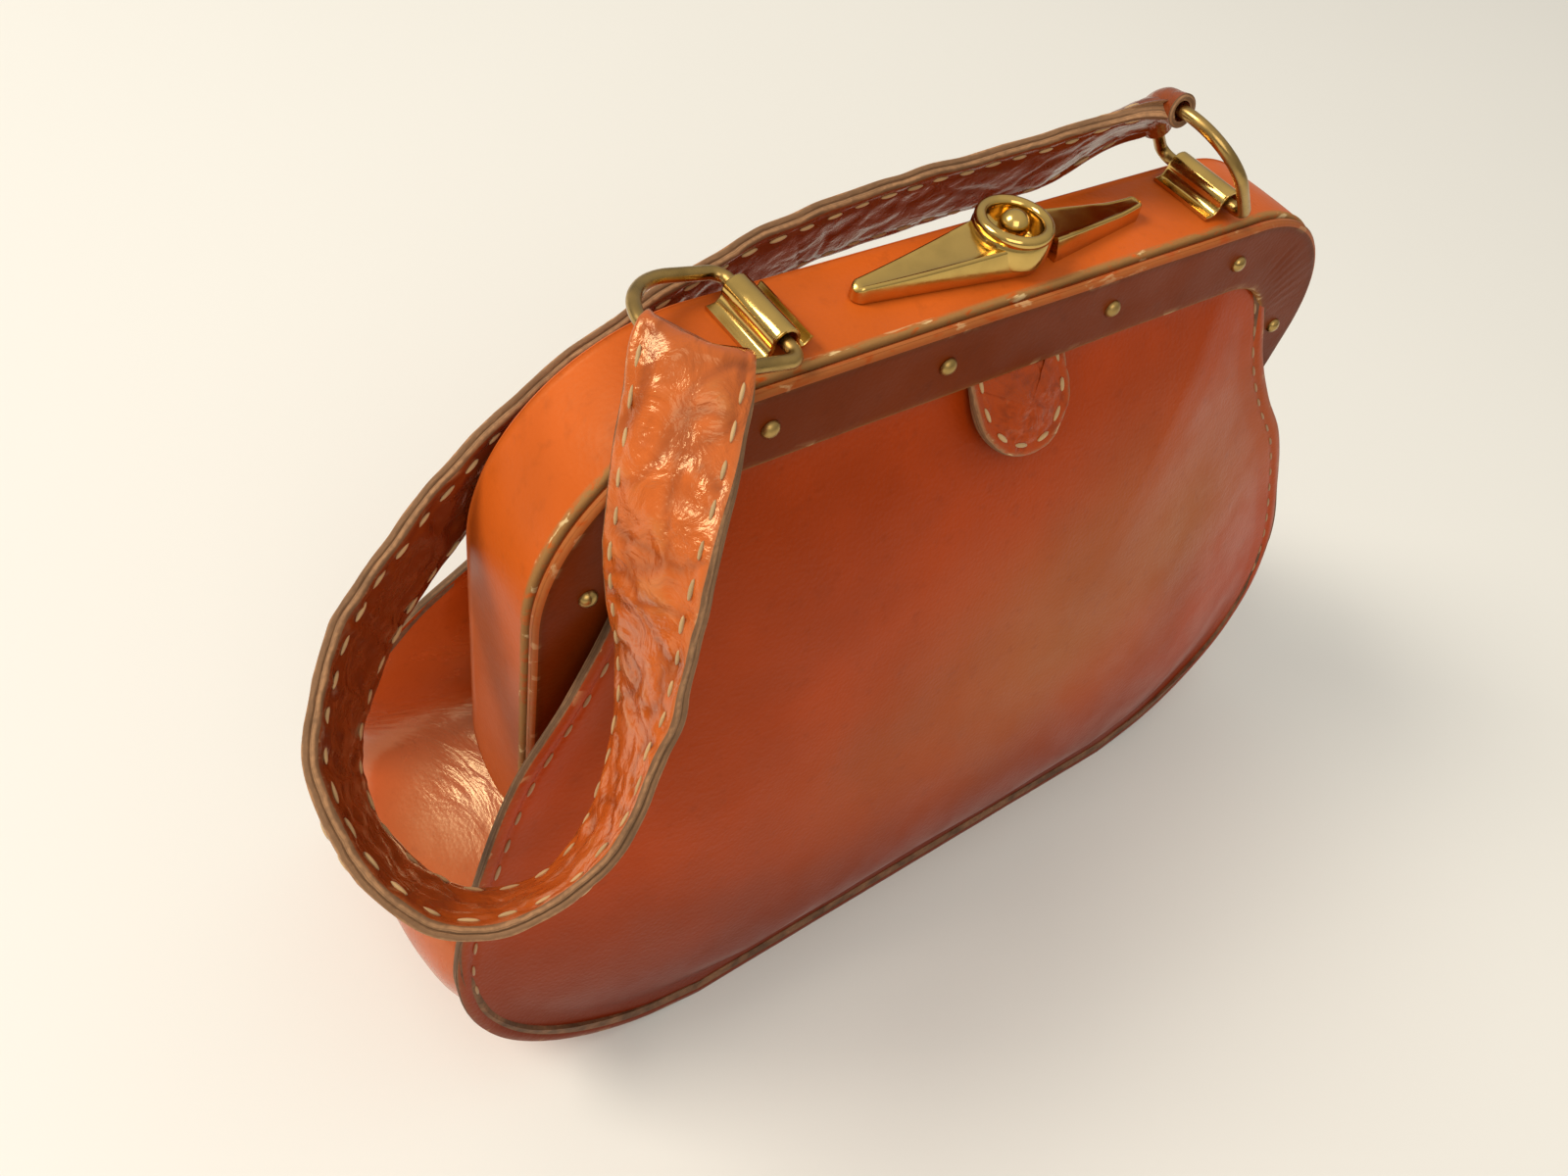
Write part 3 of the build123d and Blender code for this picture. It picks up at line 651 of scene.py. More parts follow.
# Frame
def arch(inset, foot, rows):
    """Places (x, height) and inward directions along the frame's arch, from left foot to right foot."""
    half, top, radius = HALF_LENGTH - inset, TOP - inset, SHOULDER - inset
    places, inward = [], []
    for height in np.linspace(foot, top - radius, rows, endpoint=False):
        places.append((-half, height))
        inward.append((1, 0))
    for turn in np.linspace(0, math.pi / 2, rows, endpoint=False):
        places.append((radius - half - radius * math.cos(turn), top - radius + radius * math.sin(turn)))
        inward.append((math.cos(turn), -math.sin(turn)))
    for x in np.linspace(radius - half, 0, rows):
        places.append((x, top))
        inward.append((0, -1))
    places, inward = np.array(places), np.array(inward)
    mirror = np.array([-1, 1])
    return np.vstack([places, places[-2::-1] * mirror]), np.vstack([inward, inward[-2::-1] * mirror])


def sweep(places, inward, profiles):
    """Loops along the arch from a section (y, depth below the skin) for each row."""
    loops = []
    for spot, down, profile in zip(places, inward, profiles):
        flat = spot + profile[:, 1:] * down
        loops.append(np.column_stack([flat[:, 0], profile[:, 0], flat[:, 1]]))
    return np.array(loops)


def canopy_section(half_depth, flange_depth, round_size):
    """Section of the canopy as (y, depth): outer skin, rear corner, flange, inner side, worn front edge."""
    r = min(round_size, 0.6 * half_depth)
    wall = min(FLANGE, half_depth)
    near_edge = [r, r + 0.5 * MM, r + 1.2 * MM]
    skin_y = np.concatenate([near_edge, np.linspace(r + 2.2 * MM, 2 * HALF_DEPTH - r, 16)])
    skin_y = -half_depth + skin_y * half_depth / HALF_DEPTH
    skin = np.column_stack([skin_y, 0.3 * MM * (skin_y / HALF_DEPTH) ** 2 * (half_depth / HALF_DEPTH)])
    return np.vstack([
        skin,
        arc((half_depth - r, r), r, -80, 0, 6),
        np.column_stack([np.full(6, half_depth), np.linspace(1.5 * r, flange_depth - 0.5 * MM, 6)]),
        np.column_stack([np.linspace(half_depth - 0.3 * MM, half_depth - wall, 3), np.full(3, flange_depth)]),
        np.column_stack([np.full(4, half_depth - wall), np.linspace(flange_depth - 0.4 * MM, WALL, 4)]),
        np.column_stack([np.linspace(half_depth - wall - 0.5 * MM, -half_depth + 0.5 * MM, 8),
                         np.full(8, WALL)]),
        np.column_stack([np.full(3, -half_depth), np.linspace(WALL - 0.3 * MM, r, 3)]),
        arc((r - half_depth, r), r, 190, 262, 5),
    ])


def build_canopy(sizes):
    """The rear frame half's leather: a wide arch with rounded leg ends and a rear flange."""
    places, inward = arch(0, HINGE, ARCH_ROWS)
    turn = np.radians(np.linspace(86, 4, TIP_ROWS))
    tip = np.column_stack([np.full(TIP_ROWS, -HALF_LENGTH), HINGE - HALF_DEPTH * np.sin(turn)])
    tips = [canopy_section(HALF_DEPTH * math.cos(t), WALL + 0.5 * MM, sizes.edge_round) for t in turn]
    full = canopy_section(HALF_DEPTH, FLANGE_INSET + FLANGE_WIDTH, sizes.edge_round)
    profiles = [*tips, *[full] * len(places), *tips[::-1]]
    mirror = np.array([-1, 1])
    places = np.vstack([tip, places, tip[::-1] * mirror])
    side = np.tile((1.0, 0.0), (TIP_ROWS, 1))
    inward = np.vstack([side, inward, side * mirror])
    loops = sweep(places, inward, profiles)
    y = np.array(profiles)[:, :, 0] + np.array([abs(p[0, 0]) for p in profiles])[:, None]
    depth = np.array(profiles)[:, :, 1]
    wear = (1 - fade(y, 0.2 * MM, 1.2 * MM)) * (1 - fade(depth, WALL - 0.1 * MM, WALL))
    # The front edge is uneven where it is worn, and set back a little
    set_back = 0.3 * MM * (1 - fade(y, 0, 3 * MM))
    loops[:, :, 1] += 0.18 * MM * ripple(loops, 9 * MM, 2.0) * wear + set_back
    # Painted shade makes the legs darker than the top
    painted_leg_shade = 0.5 * (1 - fade(loops[:, :, 2], 95 * MM, 150 * MM))
    return loft("canopy_leather", loops, [materials()["frame"]], sharp_deg=60,
                fields={"wear": wear, "shade": painted_leg_shade})


def build_flange(sizes):
    """Leather over the front flange, with a rolled outer edge."""
    places, inward = arch(0, HINGE - 0.3 * MM, ARCH_ROWS)
    roll = sizes.flange_roll
    face = -FLANGE_FRONT - 0.25 * MM
    back = -FLANGE_BACK - 0.45 * MM
    outer, inner = FLANGE_INSET - 0.2 * MM, FLANGE_INSET + FLANGE_WIDTH + 0.2 * MM
    middle = (face + back) / 2
    profile = np.vstack([
        np.column_stack([np.linspace(back, middle, 2), np.full(2, outer)]),
        arc((face + roll, outer + roll), roll, 262, 188, 6),
        np.column_stack([face + 0.12 * MM * np.sin(np.linspace(0, math.pi, 14)),
                         np.linspace(outer + 1.5 * roll, inner - 1.2 * MM, 14)]),
        arc((face + 0.9 * MM, inner - 0.9 * MM), 0.9 * MM, 172, 95, 5),
        np.column_stack([np.full(3, back), np.linspace(inner, outer + 2 * MM, 3)]),
    ])
    loops = sweep(places, inward, [profile] * len(places))
    depth = profile[:, 1]
    wear = 0.4 * hill(depth, outer, MM) + 0.9 * hill(depth, inner, 0.8 * MM)
    # Painted shade darkens the turned-over outer edge
    painted_roll_shade = 0.45 * (1 - fade(depth, outer + roll, outer + 2 * roll))
    loops[:, :, 1] += 0.2 * MM * ripple(loops, 26 * MM, 5.0)
    # Fine pleats where the leather turns the right shoulder, by the angle about the shoulder's centre
    turn_x, turn_z = HALF_LENGTH - SHOULDER, TOP - SHOULDER
    corner = np.degrees(np.arctan2(loops[:, :, 2] - turn_z, loops[:, :, 0] - turn_x))
    pleats = fade(corner, 14, 30) * (1 - fade(corner, 58, 72)) * np.sin(math.pi * fade(depth, outer, inner))
    pleats *= loops[:, :, 0] > turn_x
    loops[:, :, 1] += 0.16 * MM * pleats * np.sin(np.radians(corner) * 62 + 2 * ripple(loops, 20 * MM, 7.0))
    finish = materials()
    # The turned-over edge has the frame's colour and the rest the flange's
    edge_columns = 7
    slots = np.where(np.arange(len(profile)) < edge_columns, 0, 1)
    return loft("front_flange_leather", loops, [finish["frame"], finish["flange"]], slots,
                fields={"wear": wear, "shade": painted_roll_shade}, sharp_deg=60)


def build_rim():
    """The front frame's rim and ears, without the flange that the leather covers."""
    rim = finished_copy("front_frame", materials()["flange"])
    bm = bmesh.new()
    bm.from_mesh(rim.data)
    cut = bmesh.ops.bisect_plane(bm, geom=bm.verts[:] + bm.edges[:] + bm.faces[:], clear_inner=True,
                                 plane_co=(0, -FLANGE_BACK - 0.3 * MM, 0), plane_no=(0, 1, 0))
    rims = [item for item in cut["geom_cut"] if isinstance(item, bmesh.types.BMEdge)]
    bmesh.ops.holes_fill(bm, edges=rims, sides=0)
    bm.to_mesh(rim.data)
    bm.free()
    return rim


def stud_places():
    """Stud places (x, height) along a flange: four along the top and one on each leg."""
    row = TOP - FLANGE_INSET - FLANGE_WIDTH / 2
    inner, outer = 24 * MM, 67.4 * MM
    leg_x = STUD_HIGH.x - 2 * MM
    leg_z = STUD_LOW.z + 2 * MM
    return [(-leg_x, leg_z), (-outer, row), (-inner, row), (inner, row), (outer, row), (leg_x, leg_z)]


class BAG_OT_frame(bpy.types.Operator):
    """Builds the leather of both frame halves"""
    bl_idname = "bag.frame"
    bl_label = "Frame leather"

    def execute(self, context):
        sizes = context.scene.bag_sizes
        place(build_canopy(sizes), "bag", ["canopy_frame"])
        place(build_flange(sizes), "front_frame")
        place(build_rim(), "front_frame", ["front_frame"])
        return {"FINISHED"}


class BAG_OT_studs(bpy.types.Operator):
    """Sets the domed studs on both flanges"""
    bl_idname = "bag.studs"
    bl_label = "Studs"

    def execute(self, context):
        sizes = context.scene.bag_sizes
        values = {"Radius": sizes.stud_radius, "Height": sizes.stud_height}
        spots = stud_places()
        tree = stud_tree()
        for name, y, facing, body, node in (
            ("front_stud_domes", -FLANGE_FRONT - 0.2 * MM, (0, -1, 0), "front_frame", "front_studs"),
            ("back_stud_domes", HALF_DEPTH, (0, 1, 0), "bag", "back_studs"),
        ):
            domes = grow(name, [(x, y, z) for x, z in spots], facing, tree, values, joined=False)
            place(domes, body, [node])
        return {"FINISHED"}


# Body
def seam_line(rows):
    """The right seam from top to base as rows of the gusset table, in metres and degrees."""
    scale = np.array([SEAM_HALF, TOP, 1, 1, SEAM_HALF, SEAM_HALF])
    return smooth_path(np.array(GUSSET_SHARES) * scale, rows, space=2)


def seam_y(height, lean):
    """Distance of a seam plane from the middle of the bag at a height."""
    return SEAM_BASE - lean * height


def panel_outline(rows):
    """Closed outline of a panel as (x, height), from the top middle round the right side."""
    seam = seam_line(rows)[:, :2]
    top = seam[0]
    crown = np.column_stack([np.linspace(0, top[0] - 6 * MM, 14), np.full(14, top[1] + 5 * MM)])
    base = np.column_stack([np.linspace(seam[-1, 0], 0, 30)[1:], np.zeros(29)])
    right = np.vstack([crown, seam, base])
    return np.vstack([right, right[-2:0:-1] * np.array([-1, 1])])


def outward(outline):
    """Unit directions out of a closed outline."""
    along = unit(np.roll(outline, -1, axis=0) - np.roll(outline, 1, axis=0))
    out = np.column_stack([along[:, 1], -along[:, 0]])
    return out if np.sum((outline - outline.mean(0)) * out) > 0 else -out


def slab_rows(outline, centre, insets, shares):
    """Rows over a sheet's face, round its rim and over its back: places, share out, inset, depth 0 to 1."""
    rim, turns = 0.35 * MM, (0.06, 0.28, 0.5, 0.72, 0.94)
    out = outward(outline)
    inner = outline - out * insets[0]
    face = [(centre + (inner - centre) * s, s, insets[0] + (1 - s), 0.0) for s in shares]
    margin = [(outline - out * d, 1.0, d, 0.0) for d in insets[1:]]
    round_rim = [(outline + out * rim * math.sin(math.pi * t), 1.0, 0.0, t) for t in turns]
    back = [(flat, s, d, 1.0) for flat, s, d, _ in (face + margin)[::-3]]
    rows = face + margin + round_rim + back
    return np.array([r[0] for r in rows]), *(np.array([r[k] for r in rows])[:, None] for k in (1, 2, 3))


# Rows of a panel: shares of the way out over the belly, then distances from the rim over the sewn margin
PANEL_SHARES = 1 - (1 - np.linspace(0.04, 1, 30)) ** 1.4
PANEL_INSETS = np.array([9, 7.6, 6.4, 5.4, 4.7, 4.1, 3.6, 3.1, 2.5, 1.8, 1.0, 0.3]) * MM
SEAM_STITCH_TOP = 158 * MM


def build_panel(name, side, lean, sizes):
    """One panel: a bellied sheet with a sewn margin and a raw rim; returns it, its stitch line and facing."""
    outline = panel_outline(110)
    centre = np.array([0, BELLY_HEIGHT])
    flat, share, inset, depth = slab_rows(outline, centre, PANEL_INSETS, PANEL_SHARES)
    x, height = flat[:, :, 0], flat[:, :, 1]
    lift = BELLY * (1 - share ** 4) ** 1.25
    margin = share == 1
    sewn = np.where(margin, 0.3 * MM * hill(inset, 1.6 * MM, MM), 0)
    groove = np.where(margin, 0.4 * MM * hill(inset, sizes.stitch_inset, 0.7 * MM), 0)
    # The top lies a little farther in, behind the flange
    tuck = 0.7 * MM * fade(height, 146 * MM, 166 * MM)
    spots = np.stack([x, height, np.zeros_like(x)], axis=2)
    wave = 0.9 * MM * ripple(spots, 46 * MM, 1.0 + side) * (1 - share ** 3)
    wave += 0.25 * MM * ripple(spots, 15 * MM, 4.0 + side) * (1 - 0.6 * share)
    y = seam_y(height, lean) - tuck + lift + (PANEL + sewn - groove) * (1 - depth) + wave
    loops = np.stack([x, side * y, np.maximum(height, FLOOR_GAP)], axis=2)
    # A painted sheen makes the face paler to the right of the middle, painted shade makes face and rim darker
    # towards the foot, and the face is creased at both upper sides
    painted_sheen = hill(x, 45 * MM, 75 * MM) * hill(height - 0.25 * x, 84 * MM, 38 * MM)
    painted_sheen *= 0.8 + 0.3 * ripple(spots, 30 * MM, 12.0)
    foot = 0.85 * (1 - fade(height + 0.12 * x, 4 * MM, 78 * MM))
    every = np.ones_like(x)
    wear = 0.3 * hill(inset, 0, 0.9 * MM) * (depth < 1) * every
    crease = 0.5 * hill(np.abs(x), 88 * MM, 26 * MM) * hill(height, 92 * MM, 30 * MM)
    finish = materials()
    piece = loft(name, loops, [finish["panel"], finish["seam"], finish["flesh"]], fields={
        "wear": wear, "crease": crease, "layer": depth * every, "painted_sheen": painted_sheen, "shade": foot, "darkening": foot,
    })
    # Face, rim and back have a finish each
    row_slots = (depth[:-1, 0] > 0.02) * 1 + (depth[:-1, 0] > 0.9) * 1
    slots = np.repeat(row_slots, len(outline)).tolist()
    piece.data.polygons.foreach_set("material_index", slots + [0, 2])
    nearest = len(PANEL_SHARES) + int(np.argmin(np.abs(PANEL_INSETS[1:] - sizes.stitch_inset)))
    line = loops[nearest]
    line = line[line[:, 2] < SEAM_STITCH_TOP]
    facing = unit(np.array([0, side, lean]))
    return piece, line, facing


class BAG_OT_panels(bpy.types.Operator):
    """Builds the front and back panels with their seams"""
    bl_idname = "bag.panels"
    bl_label = "Panels"

    def execute(self, context):
        sizes = context.scene.bag_sizes
        bend = ("bag", "front_frame", *PANEL_BEND)
        for name, side, lean, bends in (("front", -1, FRONT_LEAN, bend), ("back", 1, BACK_LEAN, None)):
            panel, line, facing = build_panel(name + "_panel_leather", side, lean, sizes)
            place(panel, "bag", [name + "_panel"], bends)
            lift = facing * 0.12 * MM
            seam = stitch(name + "_seam_stitches", line + lift, facing, "seam_thread")
            place(seam, "bag", bend=bends)
        return {"FINISHED"}


def gusset_loop(row, sizes, columns):
    """One section of the gusset strip, outer side then inner side, for the right half."""
    x, height, lean_deg, fold, side_out, middle_out = row
    lean = math.radians(lean_deg)
    front, back = (seam_y(height, tilt) for tilt in (FRONT_LEAN, BACK_LEAN))
    margin = sizes.seam_margin
    guide = [
        (-front, 0.2 * MM), (-front, -0.5 * margin), (-front + 0.3 * MM, -margin),
        (-fold * front, side_out), (0, middle_out), (fold * back, side_out),
        (back - 0.3 * MM, -margin), (back, -0.5 * margin), (back, 0.2 * MM),
    ]
    outer = smooth_path(guide, columns, space=2)
    along = unit(np.gradient(outer, axis=0))
    normal = np.column_stack([-along[:, 1], along[:, 0]])
    section = np.vstack([outer, (outer - normal * sizes.gusset_sheet)[::-1]])
    return np.column_stack([
        x + section[:, 1] * math.cos(lean), section[:, 0], height - section[:, 1] * math.sin(lean),
    ])


def build_gusset(sizes):
    """The gusset: one strip from top to top under the base, folded in behind the frame's legs."""
    columns = 72
    rows = seam_line(120)
    right = np.array([gusset_loop(row, sizes, columns) for row in rows])
    base = [right[-1] * np.array([s, 1, 1]) for s in np.linspace(1, -1, 26)[1:-1]]
    left = right[::-1] * np.array([-1, 1, 1])
    loops = np.vstack([right, base, left])
    x, y, height = (loops[:, :, k] for k in range(3))
    # Fine level creases above the bulge, which carries a painted highlight
    crease = hill(height, 63 * MM, 8 * MM) * hill(y, 0, 34 * MM)
    bulge = 0.3 * hill(height, 48 * MM, 13 * MM) * hill(y, 0, 28 * MM)
    level = loops * np.array([0.3, 0.3, 1])
    swell = 0.6 * ripple(loops, 34 * MM, 8.0) + 0.7 * crease * ripple(level, 4.0 * MM, 6.0)
    loops[:, :, 0] += np.sign(x) * MM * swell * fade(height, 4 * MM, 14 * MM)
    loops[:, :, 2] = np.maximum(height, FLOOR_GAP)
    finish = materials()
    # Outer side, flesh side, and the two cut edges
    slots = np.zeros(2 * columns, int)
    slots[columns:] = 1
    slots[[columns - 1, 2 * columns - 1]] = 2
    layer = np.concatenate([np.zeros(columns), np.ones(columns)])
    return loft("gusset_leather", loops, [finish["gusset"], finish["flesh"], finish["seam"]], slots,
                fields={"crease": crease, "painted_sheen": bulge, "layer": layer}, sharp_deg=60)


class BAG_OT_gusset(bpy.types.Operator):
    """Builds the folded gusset"""
    bl_idname = "bag.gusset"
    bl_label = "Gusset"

    def execute(self, context):
        bend = ("bag", "front_frame", *GUSSET_BEND)
        place(build_gusset(context.scene.bag_sizes), stands_for=["gusset"], bend=bend)
        return {"FINISHED"}


def build_tab(sizes):
    """The pull tab: a crinkled tongue with a raw rim; returns it with its stitch line and facing."""
    centre_x = (TAB_HIGH.x + TAB_LOW.x) / 2
    half = (TAB_HIGH.x - TAB_LOW.x) / 2
    lean = math.radians(29.1)
    reach = (FLANGE_FOOT - TAB_LOW.z) / math.cos(lean) + 1.0 * MM
    head, crown_count, stitch_inset = 2 * MM, 16, 2.3 * MM
    bottom = arc((0, half - reach), half, 0, -180, 40)
    right = np.column_stack([np.full(14, half), np.linspace(head, half - reach, 14, endpoint=False)])
    crown_x = np.linspace(-half, half, crown_count, endpoint=False)
    crown = np.column_stack([crown_x, np.full(crown_count, head)])
    left = np.column_stack([np.full(14, -half), np.linspace(half - reach, head, 15)[1:]])
    outline = np.vstack([crown, right, bottom, left[:-1]])
    insets = np.array([4.2, 3.4, 2.8, 2.3, 1.8, 1.2, 0.6, 0.2]) * MM
    shares = np.linspace(0.02, 1, 12)
    flat, share, inset, depth = slab_rows(outline, np.array([0, -0.45 * reach]), insets, shares)
    spots = np.stack([flat[:, :, 0], flat[:, :, 1], np.zeros(flat.shape[:2])], axis=2)
    crinkle = ripple(spots, 5 * MM, 9.0) + 0.6 * ripple(spots, 2.2 * MM, 3.0)
    swell = 0.9 * MM * (1 - share ** 2) + 0.45 * MM * crinkle
    # Painted shade along the crinkles' creases
    painted_crease_shade = 0.45 * np.maximum(1 - 6 * np.abs(crinkle), 0)
    groove = np.where(share == 1, 0.35 * MM * hill(inset, stitch_inset, 0.6 * MM), 0)
    # The top goes in behind the flange, and the free end stands off the panel
    free = fade(-flat[:, :, 1], -2 * MM, 8 * MM)
    raised = 1.4 * MM * fade(-flat[:, :, 1], 5 * MM, reach)
    body = (sizes.tab_thickness + swell - groove) * (1 - depth) * (0.5 + 0.5 * free)
    rise = body - 0.6 * MM * (1 - free) + raised
    down = np.array([0, -math.sin(lean), -math.cos(lean)])
    facing = np.array([0, -math.cos(lean), math.sin(lean)])
    origin = np.array([centre_x, -FLANGE_BACK - 0.4 * MM, FLANGE_FOOT])
    loops = origin + flat[:, :, :1] * np.array([1, 0, 0]) - flat[:, :, 1:] * down + rise[:, :, None] * facing
    finish = materials()
    piece = loft("pull_tab_leather", loops, [finish["tab"], finish["raw"]], fields={
        "wear": 0.8 * hill(inset, 0, 0.5 * MM), "layer": depth, "crease": 1 - depth, "shade": painted_crease_shade,
    })
    slots = np.repeat((depth[:-1, 0] > 0.02) * 1, len(outline)).tolist()
    piece.data.polygons.foreach_set("material_index", slots + [0, 1])
    row = len(shares) + int(np.argmin(np.abs(insets[1:] - stitch_inset)))
    line = loops[row, crown_count + 5:-5]
    return piece, line, facing


class BAG_OT_tab(bpy.types.Operator):
    """Builds the stitched pull tab"""
    bl_idname = "bag.tab"
    bl_label = "Pull tab"

    def execute(self, context):
        tab, line, facing = build_tab(context.scene.bag_sizes)
        place(tab, "front_frame", ["pull_tab"])
        seam = stitch("pull_tab_stitches", line + facing * 0.2 * MM, facing, "thread", 0.9, 0.8, 1.25)
        place(seam, "front_frame")
        return {"FINISHED"}


# Strap and rings
def ring_frame(side):
    """Origin of a ring's swing, its reach direction and its normal, as it hangs at rest."""
    lean = RING_LEANS[side]
    origin = np.array(JOINTS[side + "_ring_swing"])
    reach = np.array([math.sin(lean), 0, math.cos(lean)])
    normal = np.array([math.cos(lean), 0, -math.sin(lean)])
    return origin, reach, normal


def wire_arc(side, angles_deg):
    """Places on a ring's bow with the outward direction at each, and the ring's normal."""
    origin, reach, normal = ring_frame(side)
    turn = np.radians(angles_deg)[:, None]
    radial = np.cos(turn) * reach + np.sin(turn) * np.array([0, 1, 0])
    return origin + reach * (RING_REACH - RING_HALF) + RING_HALF * radial, radial, normal


def build_sleeve(side, sizes):
    """The strap's end rolled round a ring's bow, open at both sides."""
    inner = RING_WIRE + 0.7 * MM
    outer = inner + 0.42 * sizes.strap_thickness
    start, end = STRAP_ENDS[side]
    columns = 26
    width = np.linspace(start, end, columns)
    edge = np.sign(end - start) * 1.5
    middle = 0.5 * (inner + outer)
    spans = [(outer, width), (middle, width[-1:] + edge), (inner, width[::-1]), (middle, width[:1] - edge)]
    radii = np.concatenate([np.full(len(angles), r) for r, angles in spans])
    wire, radial, normal = wire_arc(side, np.concatenate([angles for _, angles in spans]))
    turn = np.linspace(0, 2 * math.pi, 36, endpoint=False)[:, None, None]
    loops = wire + radii[:, None] * (radial * np.cos(turn) + normal * np.sin(turn))
    loops += 0.35 * MM * ripple(loops, 5 * MM, 11.0)[:, :, None] * np.array([0.5, 0.5, 0.7])
    slots = np.zeros(len(radii), int)
    slots[[columns - 1, columns, 2 * columns, 2 * columns + 1]] = 1
    layer = (radii - inner) / (outer - inner)
    finish = materials()
    # Painted shade makes the whole sleeve as dark as the strap's rear stretch
    return loft("strap_sleeve_" + side, loops, [finish["strap"], finish["raw"]], slots, ring=True,
                fields={"crease": 1.0, "shade": 0.85, "layer": layer})


def strap_section(sizes):
    """Section of the two-layer band as (across, out, crinkle share), and its material slots."""
    half, thick = sizes.strap_width / 2, sizes.strap_thickness / 2
    margin = np.array([0.03, 0.09, 0.16, 0.22, 0.28])
    across = half * np.concatenate([margin - 1, np.linspace(-0.62, 0.62, 15), 1 - margin[::-1]])
    groove = hill(np.abs(across), 0.79 * half, 0.07 * half)
    pillow = 0.5 * MM * (1 - (across / half) ** 6)
    face = np.column_stack([across, thick - 0.5 * MM + pillow - 0.35 * MM * groove, 1 - (across / half) ** 8])
    edge = np.array([
        (1.01, 0.62), (1.02, 0.38), (1.01, 0.14), (0.975, 0), (1.0, -0.16), (1.01, -0.4), (1.0, -0.64),
    ])
    rim = np.column_stack([edge[:, 0] * half, edge[:, 1] * thick, np.zeros(len(edge))])
    under = face[::-1] * np.array([1, -1, 0.5])
    other_rim = rim[::-1] * np.array([-1, 1, 1])
    side_slots = [0] * (STRAP_FACE - 1) + [1] * (len(edge) + 1)
    return np.vstack([face, rim, under, other_rim]), np.array(side_slots * 2)


def strap_surface(sizes, shares):
    """Middle of the band: rows of points at shares of its half width, drawn out to the rings' wires."""
    route = smooth_path(np.array(STRAP_ROUTE) * np.array([MM] * 3 + [1] * 3), STRAP_ROWS)
    along = unit(np.gradient(route[:, :3], axis=0))
    across = unit(route[:, 3:] - np.sum(route[:, 3:] * along, axis=1, keepdims=True) * along)
    rows = route[:, None, :3] + (shares * sizes.strap_width / 2)[None, :, None] * across[:, None]
    last = STRAP_ROWS - 1
    for side, free, sign in (("left", STRAP_DRAWN["left"], 1), ("right", last - STRAP_DRAWN["right"], -1)):
        wire, radial, _ = wire_arc(side, np.interp(shares, [-1, 1], STRAP_ENDS[side]))
        target = rows[free]
        start = wire + unit(target - wire) * STRAP_GRIPS[side]
        span = np.linalg.norm(target - start, axis=1, keepdims=True)
        leave = (target - start) * 0.8 + radial * span * 0.35
        arrive = sign * along[free] * span * 0.9
        steps = np.arange(free + 1) if sign > 0 else np.arange(last, free - 1, -1)
        t = (np.linspace(0, 1, len(steps)) ** 1.5)[:, None, None]
        rows[steps] = ((1 + 2 * t) * (1 - t) ** 2 * start + t * (1 - t) ** 2 * leave
                       + t * t * (3 - 2 * t) * target + t * t * (t - 1) * arrive)
    return rows


def strap_loops(sizes):
    """Rows of the strap's section with crinkles and wavy edges, slots, outward directions, relief, cracks."""
    section, slots = strap_section(sizes)
    shares = section[:, 0] / (sizes.strap_width / 2)
    middle = strap_surface(sizes, shares)
    across = unit(strap_surface(sizes, shares + 0.03) - middle)
    out = unit(np.cross(np.gradient(middle, axis=0), across))
    steps = np.linalg.norm(np.diff(middle, axis=0, prepend=middle[:1]), axis=2)
    from_left = np.cumsum(steps, axis=0) + STRAP_GRIPS["left"]
    from_right = np.cumsum(steps[::-1], axis=0)[::-1]
    # Thicker towards the rings, and rounded off at the left end
    swell = 1 + 0.7 * (1 - fade(from_left, 0, 15 * MM)) + 0.5 * (1 - fade(from_right, 0, 12 * MM))
    swell *= np.sqrt(np.clip(1.02 - (np.minimum(from_left, 0) / STRAP_GRIPS["left"]) ** 2, 0, 1))
    loops = middle + (section[:, 1] * swell)[:, :, None] * out
    run = np.linspace(0, 1, STRAP_ROWS)[:, None]
    # Crinkles and ridges all over, folds across the lower bend, and thin cracks
    busy = 1 - 0.35 * fade(run, 0.22, 0.42) - 0.3 * fade(run, 0.5, 0.6)
    crinkle = ripple(loops, 7 * MM, 1.0) + 0.6 * ripple(loops, 3.2 * MM, 2.0)
    ridge = np.maximum(1 - 3 * np.abs(ripple(loops, 9 * MM, 5.0)), 0)
    bends = fade(run, 0.30, 0.36) * (1 - fade(run, 0.60, 0.68))
    line = np.column_stack([run * 0.4, 0 * run, 0 * run])
    fold = np.maximum(1 - 2.5 * np.abs(ripple(line, 6.5 * MM, 4.0)), 0)[:, None] * bends
    crack = sum(np.maximum(1 - 9 * np.abs(ripple(loops, 15 * MM, seed)), 0) for seed in (9.0, 13.0))
    crack = np.minimum(crack, 1) * section[:, 2]
    relief = (0.8 * crinkle + 0.7 * ridge + 1.5 * fold) * section[:, 2] * busy - 0.5 * crack
    loops += (sizes.strap_crinkle * relief * np.sign(section[:, 1]))[:, :, None] * out
    # Each edge sways and lifts in its own waves
    edge = fade(np.abs(shares), 0.7, 1)
    for sign, seed in ((1, 3.0), (-1, 7.0)):
        mask = edge * (np.sign(shares) == sign)
        sway = (0.4 * ripple(line, 7 * MM, seed) + 0.4 * ripple(line, 17 * MM, seed + 1)) * MM
        lift = 0.7 * MM * ripple(line, 11 * MM, seed + 2)
        loops += (mask * sway[:, None])[:, :, None] * across + (mask * lift[:, None])[:, :, None] * out
    return loops, slots, out, relief, crack


